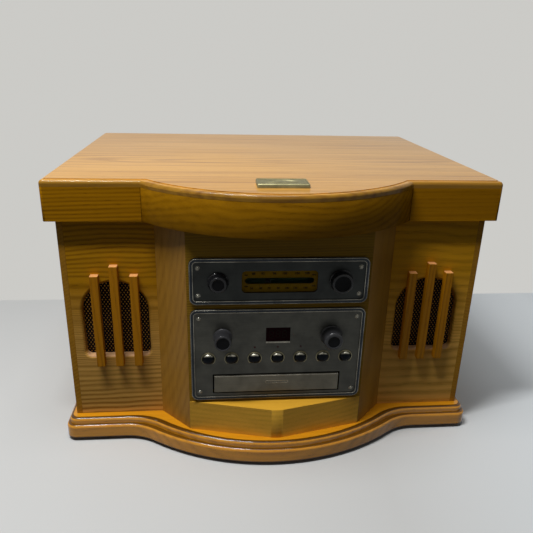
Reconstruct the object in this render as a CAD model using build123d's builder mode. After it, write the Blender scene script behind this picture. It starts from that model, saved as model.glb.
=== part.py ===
from build123d import *
import os
from math import asin, atan2, cos, degrees, pi, radians, sin, sqrt, tan

# A wooden tabletop music centre: a hinged lid over a turntable, with a radio panel,
# a disc player panel and two speakers in front. Millimetres, X to the right, Y to the
# back, Z up. The origin is under the middle of the whole, on the surface it stands on.

# Driving sizes: lid
lid_width = 503.6
lid_depth = 370.0
lid_height = 45.4
lid_bow_half = 148.0
lid_bow = 66.0
lid_board = 8.0
lid_rail = 16.0
lid_corner = 3.0
lid_edge_round = 3.9
lid_edge_step = 0.8
lid_edge_ledge = 0.6
lid_gap = 0.4

# Driving sizes: cabinet
cabinet_width = 482.0
wall_height = 247.0
side_board = 7.0
front_board = 9.0
rear_board = 9.0
baffle_setback = 7.9
corner_half = 136.6
bay_margin = 2.9
bay_reach = 37.8
apron_height = 38.0
apron_reach = 24.0
apron_nose = 30.0

# Driving sizes: plinth and feet
foot_height = 5.0
foot_radius = 10.0
foot_inset_x = 26.0
foot_inset_y = 30.0
plinth_width = 505.4
plinth_front = 6.9
plinth_bow_half = 160.0
plinth_bow = 58.0
plinth_blend = 60.0
plinth_corner = 12.0
plinth_lower = 16.5
plinth_upper = 7.7
plinth_ledge = 0.8
plinth_bead = 3.4
plinth_step = 3.7

# Driving sizes: turntable deck
deck_depth = 24.0
deck_board_thickness = 5.0
deck_gap = 0.3
cleat_width = 10.0
cleat_height = 12.0
platter_x = -45.0
platter_y = 20.0
platter_radius = 100.0
platter_height = 13.0
platter_wall = 3.0
platter_lift = 1.2
drive_ring_radius = 73.0
drive_ring_wall = 3.0
mat_radius = 96.0
mat_thickness = 3.0
spindle_radius = 3.6
spindle_above = 10.0
spindle_below = 22.0
bearing_radius = 8.0
pulley_radius = 5.0
pulley_angle = 210.0
belt_thickness = 0.8
belt_height = 4.0
motor_radius = 14.0
motor_height = 26.0
motor_shaft_radius = 1.0
running_gap = 0.05
loose_gap = 0.3

# Driving sizes: tonearm
arm_x = 132.0
arm_y = 92.0
arm_height = 31.0
arm_tube_radius = 4.0
arm_tube_length = 158.0
arm_turret_radius = 16.0
arm_turret_height = 8.0
arm_post_radius = 4.0
arm_ear = 3.0
arm_block_width = 14.0
arm_block_length = 18.0
arm_pin_radius = 1.5
arm_weight_radius = 9.0
arm_weight_length = 22.0
shell_length = 40.0
shell_width = 18.0
shell_angle = 22.0
stylus_height = 1.8
rest_reach = 120.0
rest_width = 8.0
cue_y = 75.0
cue_shaft_radius = 2.5
cue_bar_reach = 7.0
cue_bar_x = 106.0
cue_link_x = 150.5
cue_handle_x = 172.0
cue_handle_length = 38.0
cue_ear_x = 158.5
speed_x = 182.0
speed_y = -62.0
speed_radius = 10.0
speed_lever_length = 24.0

# Driving sizes: lid hinges and stay
hinge_x = 150.0
hinge_width = 50.0
hinge_leaf = 1.5
hinge_leaf_height = 18.0
knuckle_radius = 3.0
knuckle_gap = 0.3
hinge_pin_radius = 1.4
lid_open = 62.0
stay_crank = 95.0
stay_lid_height = 22.0
stay_guide_drop = 15.2
stay_x = 226.0
stay_thickness = 2.0
stay_width = 11.0
stay_pin_radius = 2.5
stay_slot_gap = 0.2
stay_side_gap = 0.4
stay_notch_front = 18.0
stay_notch_back = 9.0

# Driving sizes: speakers
speaker_x = 185.0
opening_half = 37.6
opening_bottom = 109.4
opening_arch = 166.5
opening_corner = 7.0
opening_round = 3.4
slat_width = 9.2
slat_depth = 8.2
slat_pitch = 21.8
slat_centre_x = 183.0
slat_bottom = 99.5
slat_top = 214.0
slat_middle_top = 225.4
mesh_thickness = 1.0
mesh_margin = 6.0
driver_radius = 40.0
driver_z = 152.0
driver_depth = 34.0
magnet_radius = 24.0
magnet_height = 13.0
cone_radius = 34.0

# Driving sizes: front plates
plate_lap = 11.2
plate_proud = 3.1
plate_border = 4.6
plate_recess = 0.9
plate_corner = 8.0
radio_bottom = 192.4
radio_top = 246.2
disc_bottom = 71.2
disc_top = 186.5
cutout_border = 7.0
radio_cutout_half = 78.0
screw_head_radius = 2.2
screw_shank_radius = 1.4
screw_head = 1.6
screw_length = 8.0
plate_screw_inset = 9.6
radio_screw_low = 203.4
radio_screw_high = 235.2
disc_screw_low = 82.2
disc_screw_high = 175.6

# Driving sizes: radio dial
dial_width = 83.0
dial_height = 25.4
dial_corner = 4.5
dial_z = 218.5
dial_lip = 3.5
dial_pane = 1.2
dial_card = 1.0
dial_slot_width = 76.0
dial_slot_height = 7.2
pointer_x = -12.5
pointer_width = 5.0
pointer_thickness = 1.2
pointer_height = 15.0
pointer_block = 6.0
dial_rail_radius = 1.2
dial_rail_drop = 8.5
dial_rail_half = 46.0

# Driving sizes: knobs
knob_gap = 0.4
knob_shaft_radius = 3.0
knob_shaft_gap = 0.1
knob_skirt = 0.8
knob_round = 1.6
knob_skirt_height = 2.4
volume_x = -67.0
volume_z = 218.6
volume_radius = 11.6
volume_face_radius = 9.2
volume_reach = 8.4
tuning_x = 67.2
tuning_z = 219.2
tuning_radius = 13.0
tuning_face_radius = 11.6
tuning_reach = 10.5
function_x = -62.3
function_z = 152.9
function_radius = 10.6
function_face_radius = 9.4
function_reach = 16.8
tone_x = 60.6
tone_z = 152.3
tone_radius = 12.6
tone_face_radius = 10.8
tone_reach = 17.0

# Driving sizes: buttons, lamps and display
button_count = 7
button_pitch = 26.2
button_z = 125.1
button_radius = 6.6
button_gap = 0.3
button_dome = 4.2
button_flange = 1.0
button_flange_height = 1.2
button_side_gap = 0.8
button_stem_radius = 2.0
button_travel = 1.5
lamp_z = 138.9
lamp_radius = 1.1
lamp_proud = 0.3
display_width = 27.6
display_height = 17.2
display_z = 154.6
display_recess = 0.7
display_flange = 2.0
display_flange_height = 1.0

# Driving sizes: disc drive
drawer_width = 144.6
drawer_height = 21.8
drawer_z = 92.2
drawer_gap = 1.7
drawer_proud = 1.2
drawer_thickness = 4.0
tray_half = 64.0
tray_length = 150.0
tray_thickness = 9.0
tray_drop = 5.5
disc_radius = 60.5
disc_well_depth = 4.6
disc_front = 5.0
hub_slot_half = 15.0
hub_gap = 2.0
drawer_travel = 130.0
chassis_wall = 2.0
chassis_gap = 0.5
chassis_inside = 17.5
chassis_start = 11.0
chassis_length = 158.0
chassis_foot = 14.0

# Driving sizes: boards, transformer and rear
board_thickness = 1.6
radio_board_back = 18.0
disc_board_back = 14.0
standoff_radius = 3.0
pot_radius = 8.0
pot_length = 5.5
switch_size = 6.0
switch_gap = 0.3
amplifier_x = 150.0
amplifier_y = 100.0
amplifier_length = 130.0
amplifier_width = 84.0
amplifier_lift = 8.0
heat_sink_length = 70.0
heat_sink_height = 34.0
heat_sink_fins = 7
transformer_x = -150.0
transformer_y = 135.0
transformer_length = 66.0
transformer_width = 44.0
transformer_height = 54.0
vent_count = 14
vent_width = 3.4
vent_height = 34.0
vent_pitch = 9.0
vent_x = -90.0
vent_z = 190.0
socket_plate_width = 76.0
socket_plate_height = 34.0
socket_plate_thickness = 1.6
socket_plate_margin = 5.0
socket_x = 90.0
socket_z = 96.0
socket_radius = 4.2
socket_reach = 4.2
gland_x = -190.0
gland_z = 62.0
gland_radius = 6.0
gland_flange = 9.0
gland_reach = 5.0
gland_bore = 3.2
rear_screw_inset = 6.0

# Driving sizes: name plate
badge_width = 54.0
badge_depth = 28.0
badge_height = 4.4
badge_setback = 28.2
badge_bevel = 0.8
badge_rim = 2.0
badge_recess = 0.5

# Places that follow from the sizes
button_places = [(step - (button_count - 1) / 2) * button_pitch for step in range(button_count)]
disc_cutout_half = button_places[-1] + button_radius + button_flange + button_side_gap
plate_half = disc_cutout_half + plate_lap
plate_screw_x = plate_half - plate_screw_inset
bay_half = plate_half + bay_margin
hinge_reach = knuckle_gap + 2 * knuckle_radius
rear_y = (lid_depth + lid_bow - hinge_reach) / 2
front_y = rear_y - lid_depth
baffle_y = front_y + baffle_setback
bay_y = baffle_y - bay_reach
wall_angle = atan2(bay_reach, corner_half - bay_half)
plinth_top = foot_height + plinth_lower + plinth_upper + plinth_ledge
cabinet_top = plinth_top + wall_height
cabinet_half = cabinet_width / 2
side_inner = cabinet_half - side_board
rear_inner = rear_y - rear_board
lid_bottom = cabinet_top + lid_gap
lid_top = lid_bottom + lid_height
rail_top = lid_top - lid_board
lid_half = lid_width / 2
deck_top = cabinet_top - deck_depth
deck_bottom = deck_top - deck_board_thickness
plate_y = bay_y - plate_proud
panel_y = plate_y + plate_recess
board_back = bay_y + front_board
hinge_y = rear_y + knuckle_gap + knuckle_radius
hinge_z = cabinet_top + lid_gap / 2


def facing(y, x=0, z=0):
    """A sketch plane across the object at this depth, seen from the front."""
    return Plane((x, y, z), x_dir=(1, 0, 0), z_dir=(0, -1, 0))


def backing(y, x=0, z=0):
    """A sketch plane across the object at this depth, seen from behind."""
    return Plane((x, y, z), x_dir=(-1, 0, 0), z_dir=(0, 1, 0))


def across(x):
    """A sketch plane along the object at this X, seen from the right."""
    return Plane.YZ.offset(x)


def level(z):
    """A flat sketch plane at this height."""
    return Plane.XY.offset(z)


def front_corners(inset):
    """The front wall's four bends in plan, left to right, moved in by inset."""
    shift = inset * tan(wall_angle / 2)
    return [
        (-corner_half + shift, baffle_y + inset),
        (-bay_half + shift, bay_y + inset),
        (bay_half - shift, bay_y + inset),
        (corner_half - shift, baffle_y + inset),
    ]


def bow_radius(half, reach):
    """Radius of the arc with this half chord and this rise."""
    return (half**2 + reach**2) / (2 * reach)


def bow_end(half, reach, inset):
    """Half width where the bow, moved in by inset, meets the straight front."""
    radius = bow_radius(half, reach) - inset
    rise = radius - reach + inset
    return sqrt(radius**2 - rise**2)


def bowed_plan(half_width, front, half, reach, inset, back):
    """Plan of a board with a straight front and a bow in its middle."""
    side = half_width - inset
    near = front + inset
    end = bow_end(half, reach, inset)
    with BuildSketch() as plan:
        with BuildLine():
            Polyline((end, near), (side, near), (side, back), (-side, back), (-side, near), (-end, near))
            ThreePointArc((-end, near), (0, front - reach + inset), (end, near))
        make_face()
    return plan.sketch


def near_x(shape_list, x, reach=1.0):
    """The items whose distance from the middle plane is x."""
    return ShapeList([item for item in shape_list if abs(abs(item.center().X) - x) < reach])


def not_at_rear(edges):
    """The edges that don't lie along the back."""
    return ShapeList([edge for edge in edges if edge.center().Y < rear_y - 0.1])


# Plinth: two beads and a ledge, one above the other, cut flush at the back
def plinth_layer(bottom, height, inset, bead):
    with BuildPart() as layer:
        with BuildSketch(level(bottom)) as plan:
            add(bowed_plan(plinth_width / 2, front_y - plinth_front, plinth_bow_half, plinth_bow, inset, rear_y))
            bow_x = bow_end(plinth_bow_half, plinth_bow, inset)
            fillet(near_x(plan.vertices(), bow_x), plinth_blend + inset)
            side = plinth_width / 2 - inset
            fillet(near_x(plan.vertices(), side).sort_by(Axis.Y)[:2], plinth_corner - inset / 2)
        extrude(amount=height)
        if bead:
            fillet(not_at_rear(layer.faces().sort_by(Axis.Z)[-1].edges()), bead)
    return layer.part


plinth_layers = [
    plinth_layer(foot_height, plinth_lower, 0, plinth_bead),
    plinth_layer(foot_height + plinth_lower, plinth_upper, plinth_step, plinth_bead),
    plinth_layer(foot_height + plinth_lower + plinth_upper, plinth_ledge, 2 * plinth_step, 0),
]
with BuildPart() as base_plinth:
    for layer in plinth_layers:
        add(layer)
base_plinth.part.label = "base_plinth"

with BuildPart() as rubber_feet:
    foot_x = plinth_width / 2 - foot_inset_x
    foot_front = front_y + foot_inset_y
    foot_back = rear_y - foot_inset_y
    with BuildSketch(level(0)):
        with Locations(*[(x, y) for x in (-foot_x, foot_x) for y in (foot_front, foot_back)]):
            Circle(foot_radius)
    extrude(amount=foot_height, taper=4)
rubber_feet.part.label = "rubber_feet"

# Where the stay's fixed pin stands, needed by the deck and the left panel's notches
stay_guide_z = hinge_z - stay_guide_drop
stay_guide_y = hinge_y - sqrt(stay_crank**2 - stay_guide_drop**2)
stay_lid_z = hinge_z + stay_lid_height
stay_lid_y = hinge_y - sqrt(stay_crank**2 - stay_lid_height**2)
notch_y = stay_guide_y + (stay_notch_back - stay_notch_front) / 2
notch_length = stay_notch_back + stay_notch_front


# Side panels, each with a cleat under the turntable deck
def side_panel(side):
    with BuildPart() as panel:
        with BuildSketch(level(plinth_top)):
            with Locations((side * (side_inner + side_board / 2), (baffle_y + rear_y) / 2)):
                Rectangle(side_board, rear_y - baffle_y)
        extrude(amount=wall_height)
        with BuildSketch(level(deck_bottom - cleat_height)):
            with Locations((side * (side_inner - cleat_width / 2), (baffle_y + front_board + rear_inner) / 2)):
                Rectangle(cleat_width, rear_inner - baffle_y - front_board)
        extrude(amount=cleat_height)
    return panel.part


with BuildPart() as left_side_panel:
    add(side_panel(-1))
    with BuildSketch(level(deck_bottom - cleat_height)):
        with Locations((-side_inner + cleat_width / 2, notch_y)):
            Rectangle(cleat_width, notch_length)
    extrude(amount=cleat_height, mode=Mode.SUBTRACT)
left_side_panel.part.label = "left_side_panel"

with BuildPart() as right_side_panel:
    add(side_panel(1))
right_side_panel.part.label = "right_side_panel"

# Rear panel with its vents, the socket plate's hole and the mains lead's hole
socket_hole_width = socket_plate_width - 2 * socket_plate_margin
socket_hole_height = socket_plate_height - 2 * socket_plate_margin
rear_screw_x = side_inner - rear_screw_inset
rear_screw_low = plinth_top + rear_screw_inset
rear_screw_high = cabinet_top - 4 * rear_screw_inset
rear_screw_places = [
    (x, z) for x in (-rear_screw_x, 0, rear_screw_x) for z in (rear_screw_low, rear_screw_high)
]
with BuildPart() as rear_panel:
    with BuildSketch(facing(rear_y)):
        with Locations((0, plinth_top + wall_height / 2)):
            Rectangle(2 * side_inner, wall_height)
        with Locations((socket_x, socket_z)):
            Rectangle(socket_hole_width, socket_hole_height, mode=Mode.SUBTRACT)
        with Locations((gland_x, gland_z)):
            Circle(gland_radius, mode=Mode.SUBTRACT)
        with Locations((vent_x, vent_z)):
            with GridLocations(vent_pitch, 1, vent_count, 1):
                SlotOverall(vent_height, vent_width, rotation=90, mode=Mode.SUBTRACT)
        with Locations(*rear_screw_places):
            Circle(screw_shank_radius, mode=Mode.SUBTRACT)
    extrude(amount=rear_board)
    with BuildSketch(facing(rear_inner)):
        with Locations((0, deck_bottom - cleat_height / 2)):
            Rectangle(2 * (side_inner - cleat_width), cleat_height)
    extrude(amount=cleat_width)
rear_panel.part.label = "rear_panel"


# Front wall: two baffles, two slanted corner panels and the bay between them
def arched_opening(margin):
    """Outline of an arched opening with a flat sill, grown by margin."""
    half = opening_half + margin
    low = opening_bottom - margin
    with BuildSketch() as opening:
        with BuildLine():
            Polyline((-half, opening_arch), (-half, low), (half, low), (half, opening_arch))
            ThreePointArc((half, opening_arch), (0, opening_arch + half), (-half, opening_arch))
        make_face()
        fillet(opening.vertices().group_by(Axis.Y)[0], opening_corner)
    return opening.sketch


def front_baffle(side):
    outer = front_corners(0)[3]
    inner = front_corners(front_board)[3]
    with BuildPart() as baffle:
        with BuildSketch(level(plinth_top)):
            with BuildLine():
                Polyline(
                    outer,
                    (side_inner, outer[1]),
                    (side_inner, inner[1]),
                    inner,
                    close=True,
                )
            make_face()
        extrude(amount=wall_height)
        with BuildSketch(facing(baffle_y, speaker_x)):
            add(arched_opening(0))
        extrude(amount=-front_board, mode=Mode.SUBTRACT)
        fillet(baffle.faces().sort_by(Axis.Y)[0].inner_wires()[0].edges(), opening_round)
    if side < 0:
        return baffle.part.mirror(Plane.YZ)
    return baffle.part


with BuildPart() as left_front_baffle:
    add(front_baffle(-1))
left_front_baffle.part.label = "left_front_baffle"

with BuildPart() as right_front_baffle:
    add(front_baffle(1))
right_front_baffle.part.label = "right_front_baffle"

with BuildPart() as corner_panels:
    outer = front_corners(0)
    inner = front_corners(front_board)
    with BuildSketch(level(plinth_top)):
        with BuildLine():
            Polyline(outer[3], outer[2], inner[2], inner[3], close=True)
        make_face()
        mirror(about=Plane.YZ)
    extrude(amount=wall_height)
corner_panels.part.label = "corner_panels"

with BuildPart() as centre_front_board:
    outer = front_corners(0)
    inner = front_corners(front_board)
    with BuildSketch(level(plinth_top)):
        with BuildLine():
            Polyline(outer[1], outer[2], inner[2], inner[1], close=True)
        make_face()
    extrude(amount=wall_height)
    with BuildSketch(facing(bay_y)):
        radio_middle = (radio_bottom + radio_top) / 2
        radio_hole = radio_top - radio_bottom - 2 * cutout_border
        with Locations((0, radio_middle)):
            Rectangle(2 * radio_cutout_half, radio_hole)
        disc_middle = (disc_bottom + disc_top) / 2
        disc_hole = disc_top - disc_bottom - 2 * cutout_border
        with Locations((0, disc_middle)):
            Rectangle(2 * disc_cutout_half, disc_hole)
        with Locations(
            *[(x, z) for x in (-plate_screw_x, plate_screw_x)
              for z in (radio_screw_low, radio_screw_high, disc_screw_low, disc_screw_high)]
        ):
            Circle(screw_shank_radius)
    extrude(amount=-front_board, mode=Mode.SUBTRACT)
centre_front_board.part.label = "centre_front_board"

with BuildPart() as front_apron:
    with BuildSketch(level(plinth_top)) as apron_plan:
        with BuildLine():
            Polyline((-bay_half, bay_y), (0, bay_y - apron_reach), (bay_half, bay_y), close=True)
        make_face()
        fillet(apron_plan.vertices().sort_by(Axis.Y)[0], apron_nose)
    extrude(amount=apron_height)
front_apron.part.label = "front_apron"

# Speakers: slats in front, mesh behind the opening, and the drivers
with BuildPart() as grille_slats:
    for side in (-1, 1):
        for step in (-1, 0, 1):
            top = slat_middle_top if step == 0 else slat_top
            with BuildSketch(facing(baffle_y)):
                with Locations((side * slat_centre_x + step * slat_pitch, (top + slat_bottom) / 2)):
                    Rectangle(slat_width, top - slat_bottom)
            extrude(amount=slat_depth)
grille_slats.part.label = "grille_slats"

mesh_y = baffle_y + front_board
with BuildPart() as speaker_meshes:
    with BuildSketch(facing(mesh_y, speaker_x)):
        add(arched_opening(mesh_margin))
    extrude(amount=-mesh_thickness)
    mirror(about=Plane.YZ)
speaker_meshes.part.label = "speaker_meshes"

driver_y = mesh_y + mesh_thickness
with BuildPart() as speaker_drivers:
    with BuildSketch(Plane((speaker_x, driver_y, driver_z), x_dir=(1, 0, 0), z_dir=(0, 0, 1))):
        with BuildLine():
            Polyline(
                (0, magnet_height / 2),
                (cone_radius / 4, magnet_height / 2),
                (cone_radius, 1),
                (cone_radius + 1, 0),
                (driver_radius, 0),
                (driver_radius, 3),
                (cone_radius + 2, 3),
                (magnet_radius, driver_depth - magnet_height),
                (magnet_radius, driver_depth),
                (0, driver_depth),
                close=True,
            )
        make_face()
    revolve(axis=Axis((speaker_x, 0, driver_z), (0, 1, 0)))
    mirror(about=Plane.YZ)
speaker_drivers.part.label = "speaker_drivers"


# Front plates: a raised rounded border round a recessed panel
def plate_blank(bottom, top):
    middle = (bottom + top) / 2
    height = top - bottom
    with BuildPart() as plate:
        with BuildSketch(facing(bay_y)):
            with Locations((0, middle)):
                RectangleRounded(2 * plate_half, height, plate_corner)
        extrude(amount=plate_proud)
        fillet(plate.faces().sort_by(Axis.Y)[0].edges(), plate_recess)
        with BuildSketch(facing(plate_y)):
            with Locations((0, middle)):
                RectangleRounded(
                    2 * (plate_half - plate_border), height - 2 * plate_border, plate_corner - plate_border / 2
                )
        extrude(amount=-plate_recess, mode=Mode.SUBTRACT)
        with BuildSketch(facing(bay_y)):
            low, high = (
                (radio_screw_low, radio_screw_high) if top > disc_top else (disc_screw_low, disc_screw_high)
            )
            with Locations(*[(x, z) for x in (-plate_screw_x, plate_screw_x) for z in (low, high)]):
                Circle(screw_shank_radius)
        extrude(amount=plate_proud, mode=Mode.SUBTRACT)
    return plate.part


shaft_hole_radius = knob_shaft_radius + knob_shaft_gap
with BuildPart() as radio_faceplate:
    add(plate_blank(radio_bottom, radio_top))
    with BuildSketch(facing(bay_y)):
        with Locations((0, dial_z)):
            RectangleRounded(dial_width, dial_height, dial_corner)
        with Locations((volume_x, volume_z), (tuning_x, tuning_z)):
            Circle(shaft_hole_radius)
    extrude(amount=plate_proud, mode=Mode.SUBTRACT)
radio_faceplate.part.label = "radio_faceplate"

lamp_places = [-button_pitch, 0, button_pitch]
with BuildPart() as disc_faceplate:
    add(plate_blank(disc_bottom, disc_top))
    with BuildSketch(facing(bay_y)):
        with Locations((0, drawer_z)):
            RectangleRounded(drawer_width + 2 * drawer_gap, drawer_height + 2 * drawer_gap, 1)
        with Locations((0, display_z)):
            Rectangle(display_width, display_height)
        with Locations((function_x, function_z), (tone_x, tone_z)):
            Circle(shaft_hole_radius)
        with Locations(*[(x, button_z) for x in button_places]):
            Circle(button_radius + button_gap)
        with Locations(*[(x, lamp_z) for x in lamp_places]):
            Circle(lamp_radius + running_gap)
    extrude(amount=plate_proud, mode=Mode.SUBTRACT)
disc_faceplate.part.label = "disc_faceplate"

# Radio dial: a clear pane, a card with a slot, and the pointer behind the slot
pane_width = dial_width + 2 * dial_lip
pane_height = dial_height + 2 * dial_lip
with BuildPart() as dial_window:
    with BuildSketch(facing(bay_y)):
        with Locations((0, dial_z)):
            Rectangle(pane_width, pane_height)
    extrude(amount=-dial_pane)
dial_window.part.label = "dial_window"

card_y = bay_y + dial_pane
with BuildPart() as dial_scale:
    with BuildSketch(facing(card_y)):
        with Locations((0, dial_z)):
            Rectangle(pane_width, pane_height)
            SlotOverall(dial_slot_width, dial_slot_height, mode=Mode.SUBTRACT)
    extrude(amount=-dial_card)
dial_scale.part.label = "dial_scale"

pointer_y = card_y + dial_card + loose_gap
dial_rail_y = pointer_y + pointer_thickness + pointer_block / 2
dial_rail_z = dial_z - dial_rail_drop
with BuildPart() as dial_pointer:
    with BuildSketch(facing(pointer_y)):
        with Locations((pointer_x, dial_rail_z + pointer_height / 2)):
            Rectangle(pointer_width, pointer_height)
    extrude(amount=-pointer_thickness)
    with BuildSketch(facing(pointer_y + pointer_thickness)):
        with Locations((pointer_x, dial_rail_z)):
            Rectangle(pointer_block, pointer_block)
    extrude(amount=-pointer_block)
    with BuildSketch(facing(pointer_y)):
        with Locations((pointer_x, dial_rail_z)):
            Rectangle(pointer_block, pointer_block / 2)
    extrude(amount=-pointer_thickness)
    with BuildSketch(across(pointer_x)):
        with Locations((dial_rail_y, dial_rail_z)):
            Circle(dial_rail_radius + running_gap)
    extrude(amount=pointer_block, both=True, mode=Mode.SUBTRACT)
dial_pointer.part.label = "dial_pointer"

# Display window with a flange behind the plate, and three indicator lamps
with BuildPart() as display_window:
    with BuildSketch(facing(bay_y)):
        with Locations((0, display_z)):
            Rectangle(display_width - 2 * running_gap, display_height - 2 * running_gap)
    extrude(amount=bay_y - panel_y - display_recess)
    with BuildSketch(facing(bay_y)):
        with Locations((0, display_z)):
            Rectangle(display_width + 2 * display_flange, display_height + 2 * display_flange)
    extrude(amount=-display_flange_height)
display_window.part.label = "display_window"

disc_board_y = bay_y + disc_board_back
with BuildPart() as indicator_lamps:
    with BuildSketch(facing(disc_board_y)):
        with Locations(*[(x, lamp_z) for x in lamp_places]):
            Circle(lamp_radius)
    extrude(amount=disc_board_y - panel_y + lamp_proud)
indicator_lamps.part.label = "indicator_lamps"


# Knobs: a tapered cap with a skirt, a dished front, a pointer groove and a shaft
def knob(x, z, radius, face_radius, reach):
    back = panel_y - knob_gap
    face = back - reach
    lean = degrees(atan2(radius - knob_skirt - face_radius, reach))
    with BuildPart() as cap:
        with BuildSketch(facing(back)):
            with Locations((x, z)):
                Circle(radius)
        extrude(amount=knob_skirt_height)
        with BuildSketch(facing(back)):
            with Locations((x, z)):
                Circle(radius - knob_skirt)
        extrude(amount=reach, taper=lean)
        fillet(cap.faces().sort_by(Axis.Y)[0].edges(), knob_round)
        with BuildSketch(facing(face)):
            with Locations((x, z)):
                Circle(face_radius - 1.6 * knob_round)
        extrude(amount=-knob_round / 2, mode=Mode.SUBTRACT)
        with BuildSketch(facing(face)):
            with Locations((x, z + face_radius - knob_round)):
                Rectangle(knob_round / 2, 2 * knob_round)
        extrude(amount=-knob_round, mode=Mode.SUBTRACT)
        with BuildSketch(facing(back)):
            with Locations((x, z)):
                Circle(knob_shaft_radius)
        extrude(amount=back - board_back)
    return cap.part


with BuildPart() as volume_knob:
    add(knob(volume_x, volume_z, volume_radius, volume_face_radius, volume_reach))
volume_knob.part.label = "volume_knob"

with BuildPart() as tuning_knob:
    add(knob(tuning_x, tuning_z, tuning_radius, tuning_face_radius, tuning_reach))
tuning_knob.part.label = "tuning_knob"

with BuildPart() as function_knob:
    add(knob(function_x, function_z, function_radius, function_face_radius, function_reach))
function_knob.part.label = "function_knob"

with BuildPart() as tone_knob:
    add(knob(tone_x, tone_z, tone_radius, tone_face_radius, tone_reach))
tone_knob.part.label = "tone_knob"


# Push buttons: a domed cap, a flange behind the plate and a stem to its switch
button_stem_end = disc_board_y - switch_size / 2 - switch_gap - button_travel


def push_button(x):
    base = bay_y + loose_gap
    with BuildPart() as button:
        with BuildSketch(facing(base)):
            with Locations((x, button_z)):
                Circle(button_radius)
        extrude(amount=base - panel_y)
        with BuildSketch(Plane((x, panel_y, button_z), x_dir=(1, 0, 0), z_dir=(0, 0, 1))):
            with BuildLine():
                Polyline((0, -button_dome), (0, 0), (button_radius, 0))
                ThreePointArc(
                    (button_radius, 0),
                    (button_radius * sin(radians(50)), -button_dome * cos(radians(50))),
                    (0, -button_dome),
                )
            make_face()
        revolve(axis=Axis((x, 0, button_z), (0, 1, 0)))
        with BuildSketch(facing(base)):
            with Locations((x, button_z)):
                Circle(button_radius + button_flange)
        extrude(amount=-button_flange_height)
        with BuildSketch(facing(base)):
            with Locations((x, button_z)):
                Circle(button_stem_radius)
        extrude(amount=base - button_stem_end)
    return button.part


buttons = []
for number, place in enumerate(button_places, start=1):
    with BuildPart() as button:
        add(push_button(place))
    button.part.label = f"button_{number}"
    buttons.append(button.part)


# Screws: the front plates' eight and the rear panel's six
def screw_group(plane, places):
    with BuildPart() as screws:
        with BuildSketch(plane):
            with Locations(*places):
                Circle(screw_head_radius)
        extrude(amount=screw_head)
        fillet(screws.edges().filter_by(GeomType.CIRCLE).group_by(Axis.Y)[0 if plane.z_dir.Y < 0 else -1],
               screw_head / 2)
        with BuildSketch(plane):
            with Locations(*places):
                Circle(screw_shank_radius - running_gap)
        extrude(amount=-screw_length)
    return screws.part


plate_screw_places = [
    (x, z)
    for x in (-plate_screw_x, plate_screw_x)
    for z in (radio_screw_low, radio_screw_high, disc_screw_low, disc_screw_high)
]
front_screws = screw_group(facing(panel_y), plate_screw_places)
back_screws = screw_group(
    backing(rear_y), [(-x, z) for x, z in rear_screw_places]
)
with BuildPart() as panel_screws:
    add(front_screws)
    add(back_screws)
panel_screws.part.label = "panel_screws"

# Control boards behind the plates, with pots, switches, standoffs and the dial's rail
radio_board_y = bay_y + radio_board_back
shaft_end_y = board_back
pot_bore_radius = knob_shaft_radius + knob_shaft_gap
radio_board_half = radio_cutout_half + 2 * standoff_radius
disc_board_half = disc_cutout_half + 2 * standoff_radius
radio_board_low = radio_bottom + cutout_border
radio_board_high = radio_top - cutout_border
disc_board_low = button_z - 2 * switch_size
disc_board_high = disc_top - 2 * cutout_border


def pot(x, z, board_y):
    with BuildPart() as body:
        with BuildSketch(facing(board_y)):
            with Locations((x, z)):
                Circle(pot_radius)
        extrude(amount=board_y - shaft_end_y + pot_length)
        with BuildSketch(facing(board_y)):
            with Locations((x, z)):
                Circle(pot_bore_radius)
        extrude(amount=board_y - shaft_end_y + pot_length, mode=Mode.SUBTRACT)
        with BuildSketch(facing(board_y)):
            with Locations((x, z)):
                Circle(pot_radius)
        extrude(amount=board_y - shaft_end_y - loose_gap)
    return body.part


radio_pots = [pot(volume_x, volume_z, radio_board_y), pot(tuning_x, tuning_z, radio_board_y)]
disc_pots = [pot(function_x, function_z, disc_board_y), pot(tone_x, tone_z, disc_board_y)]
with BuildPart() as control_boards:
    with BuildSketch(facing(radio_board_y)):
        with Locations((0, (radio_board_low + radio_board_high) / 2)):
            Rectangle(2 * radio_board_half, radio_board_high - radio_board_low)
    extrude(amount=-board_thickness)
    with BuildSketch(facing(radio_board_y)):
        with Locations(
            *[(x, z) for x in (standoff_radius - radio_board_half, radio_board_half - standoff_radius)
              for z in (radio_board_low + standoff_radius, radio_board_high - standoff_radius)]
        ):
            Circle(standoff_radius)
    extrude(amount=radio_board_y - board_back)
    for piece in radio_pots:
        add(piece)
    with BuildSketch(across(-dial_rail_half)):
        with Locations((dial_rail_y, dial_rail_z)):
            Circle(dial_rail_radius)
    extrude(amount=2 * dial_rail_half)
    with BuildSketch(facing(radio_board_y)):
        with Locations((-dial_rail_half, dial_rail_z), (dial_rail_half, dial_rail_z)):
            Rectangle(2 * standoff_radius, 2 * standoff_radius)
    extrude(amount=radio_board_y - dial_rail_y + dial_rail_radius)
    with BuildSketch(facing(disc_board_y)):
        with Locations((0, (disc_board_low + disc_board_high) / 2)):
            Rectangle(2 * disc_board_half, disc_board_high - disc_board_low)
    extrude(amount=-board_thickness)
    with BuildSketch(facing(disc_board_y)):
        with Locations(
            *[(x, z) for x in (standoff_radius - disc_board_half, disc_board_half - standoff_radius)
              for z in (disc_board_low + standoff_radius, disc_board_high - standoff_radius)]
        ):
            Circle(standoff_radius)
    extrude(amount=disc_board_y - board_back)
    with BuildSketch(facing(disc_board_y)):
        with Locations(*[(x, button_z) for x in button_places]):
            Rectangle(switch_size, switch_size)
    extrude(amount=switch_size / 2)
    for piece in disc_pots:
        add(piece)
control_boards.part.label = "control_boards"

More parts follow.
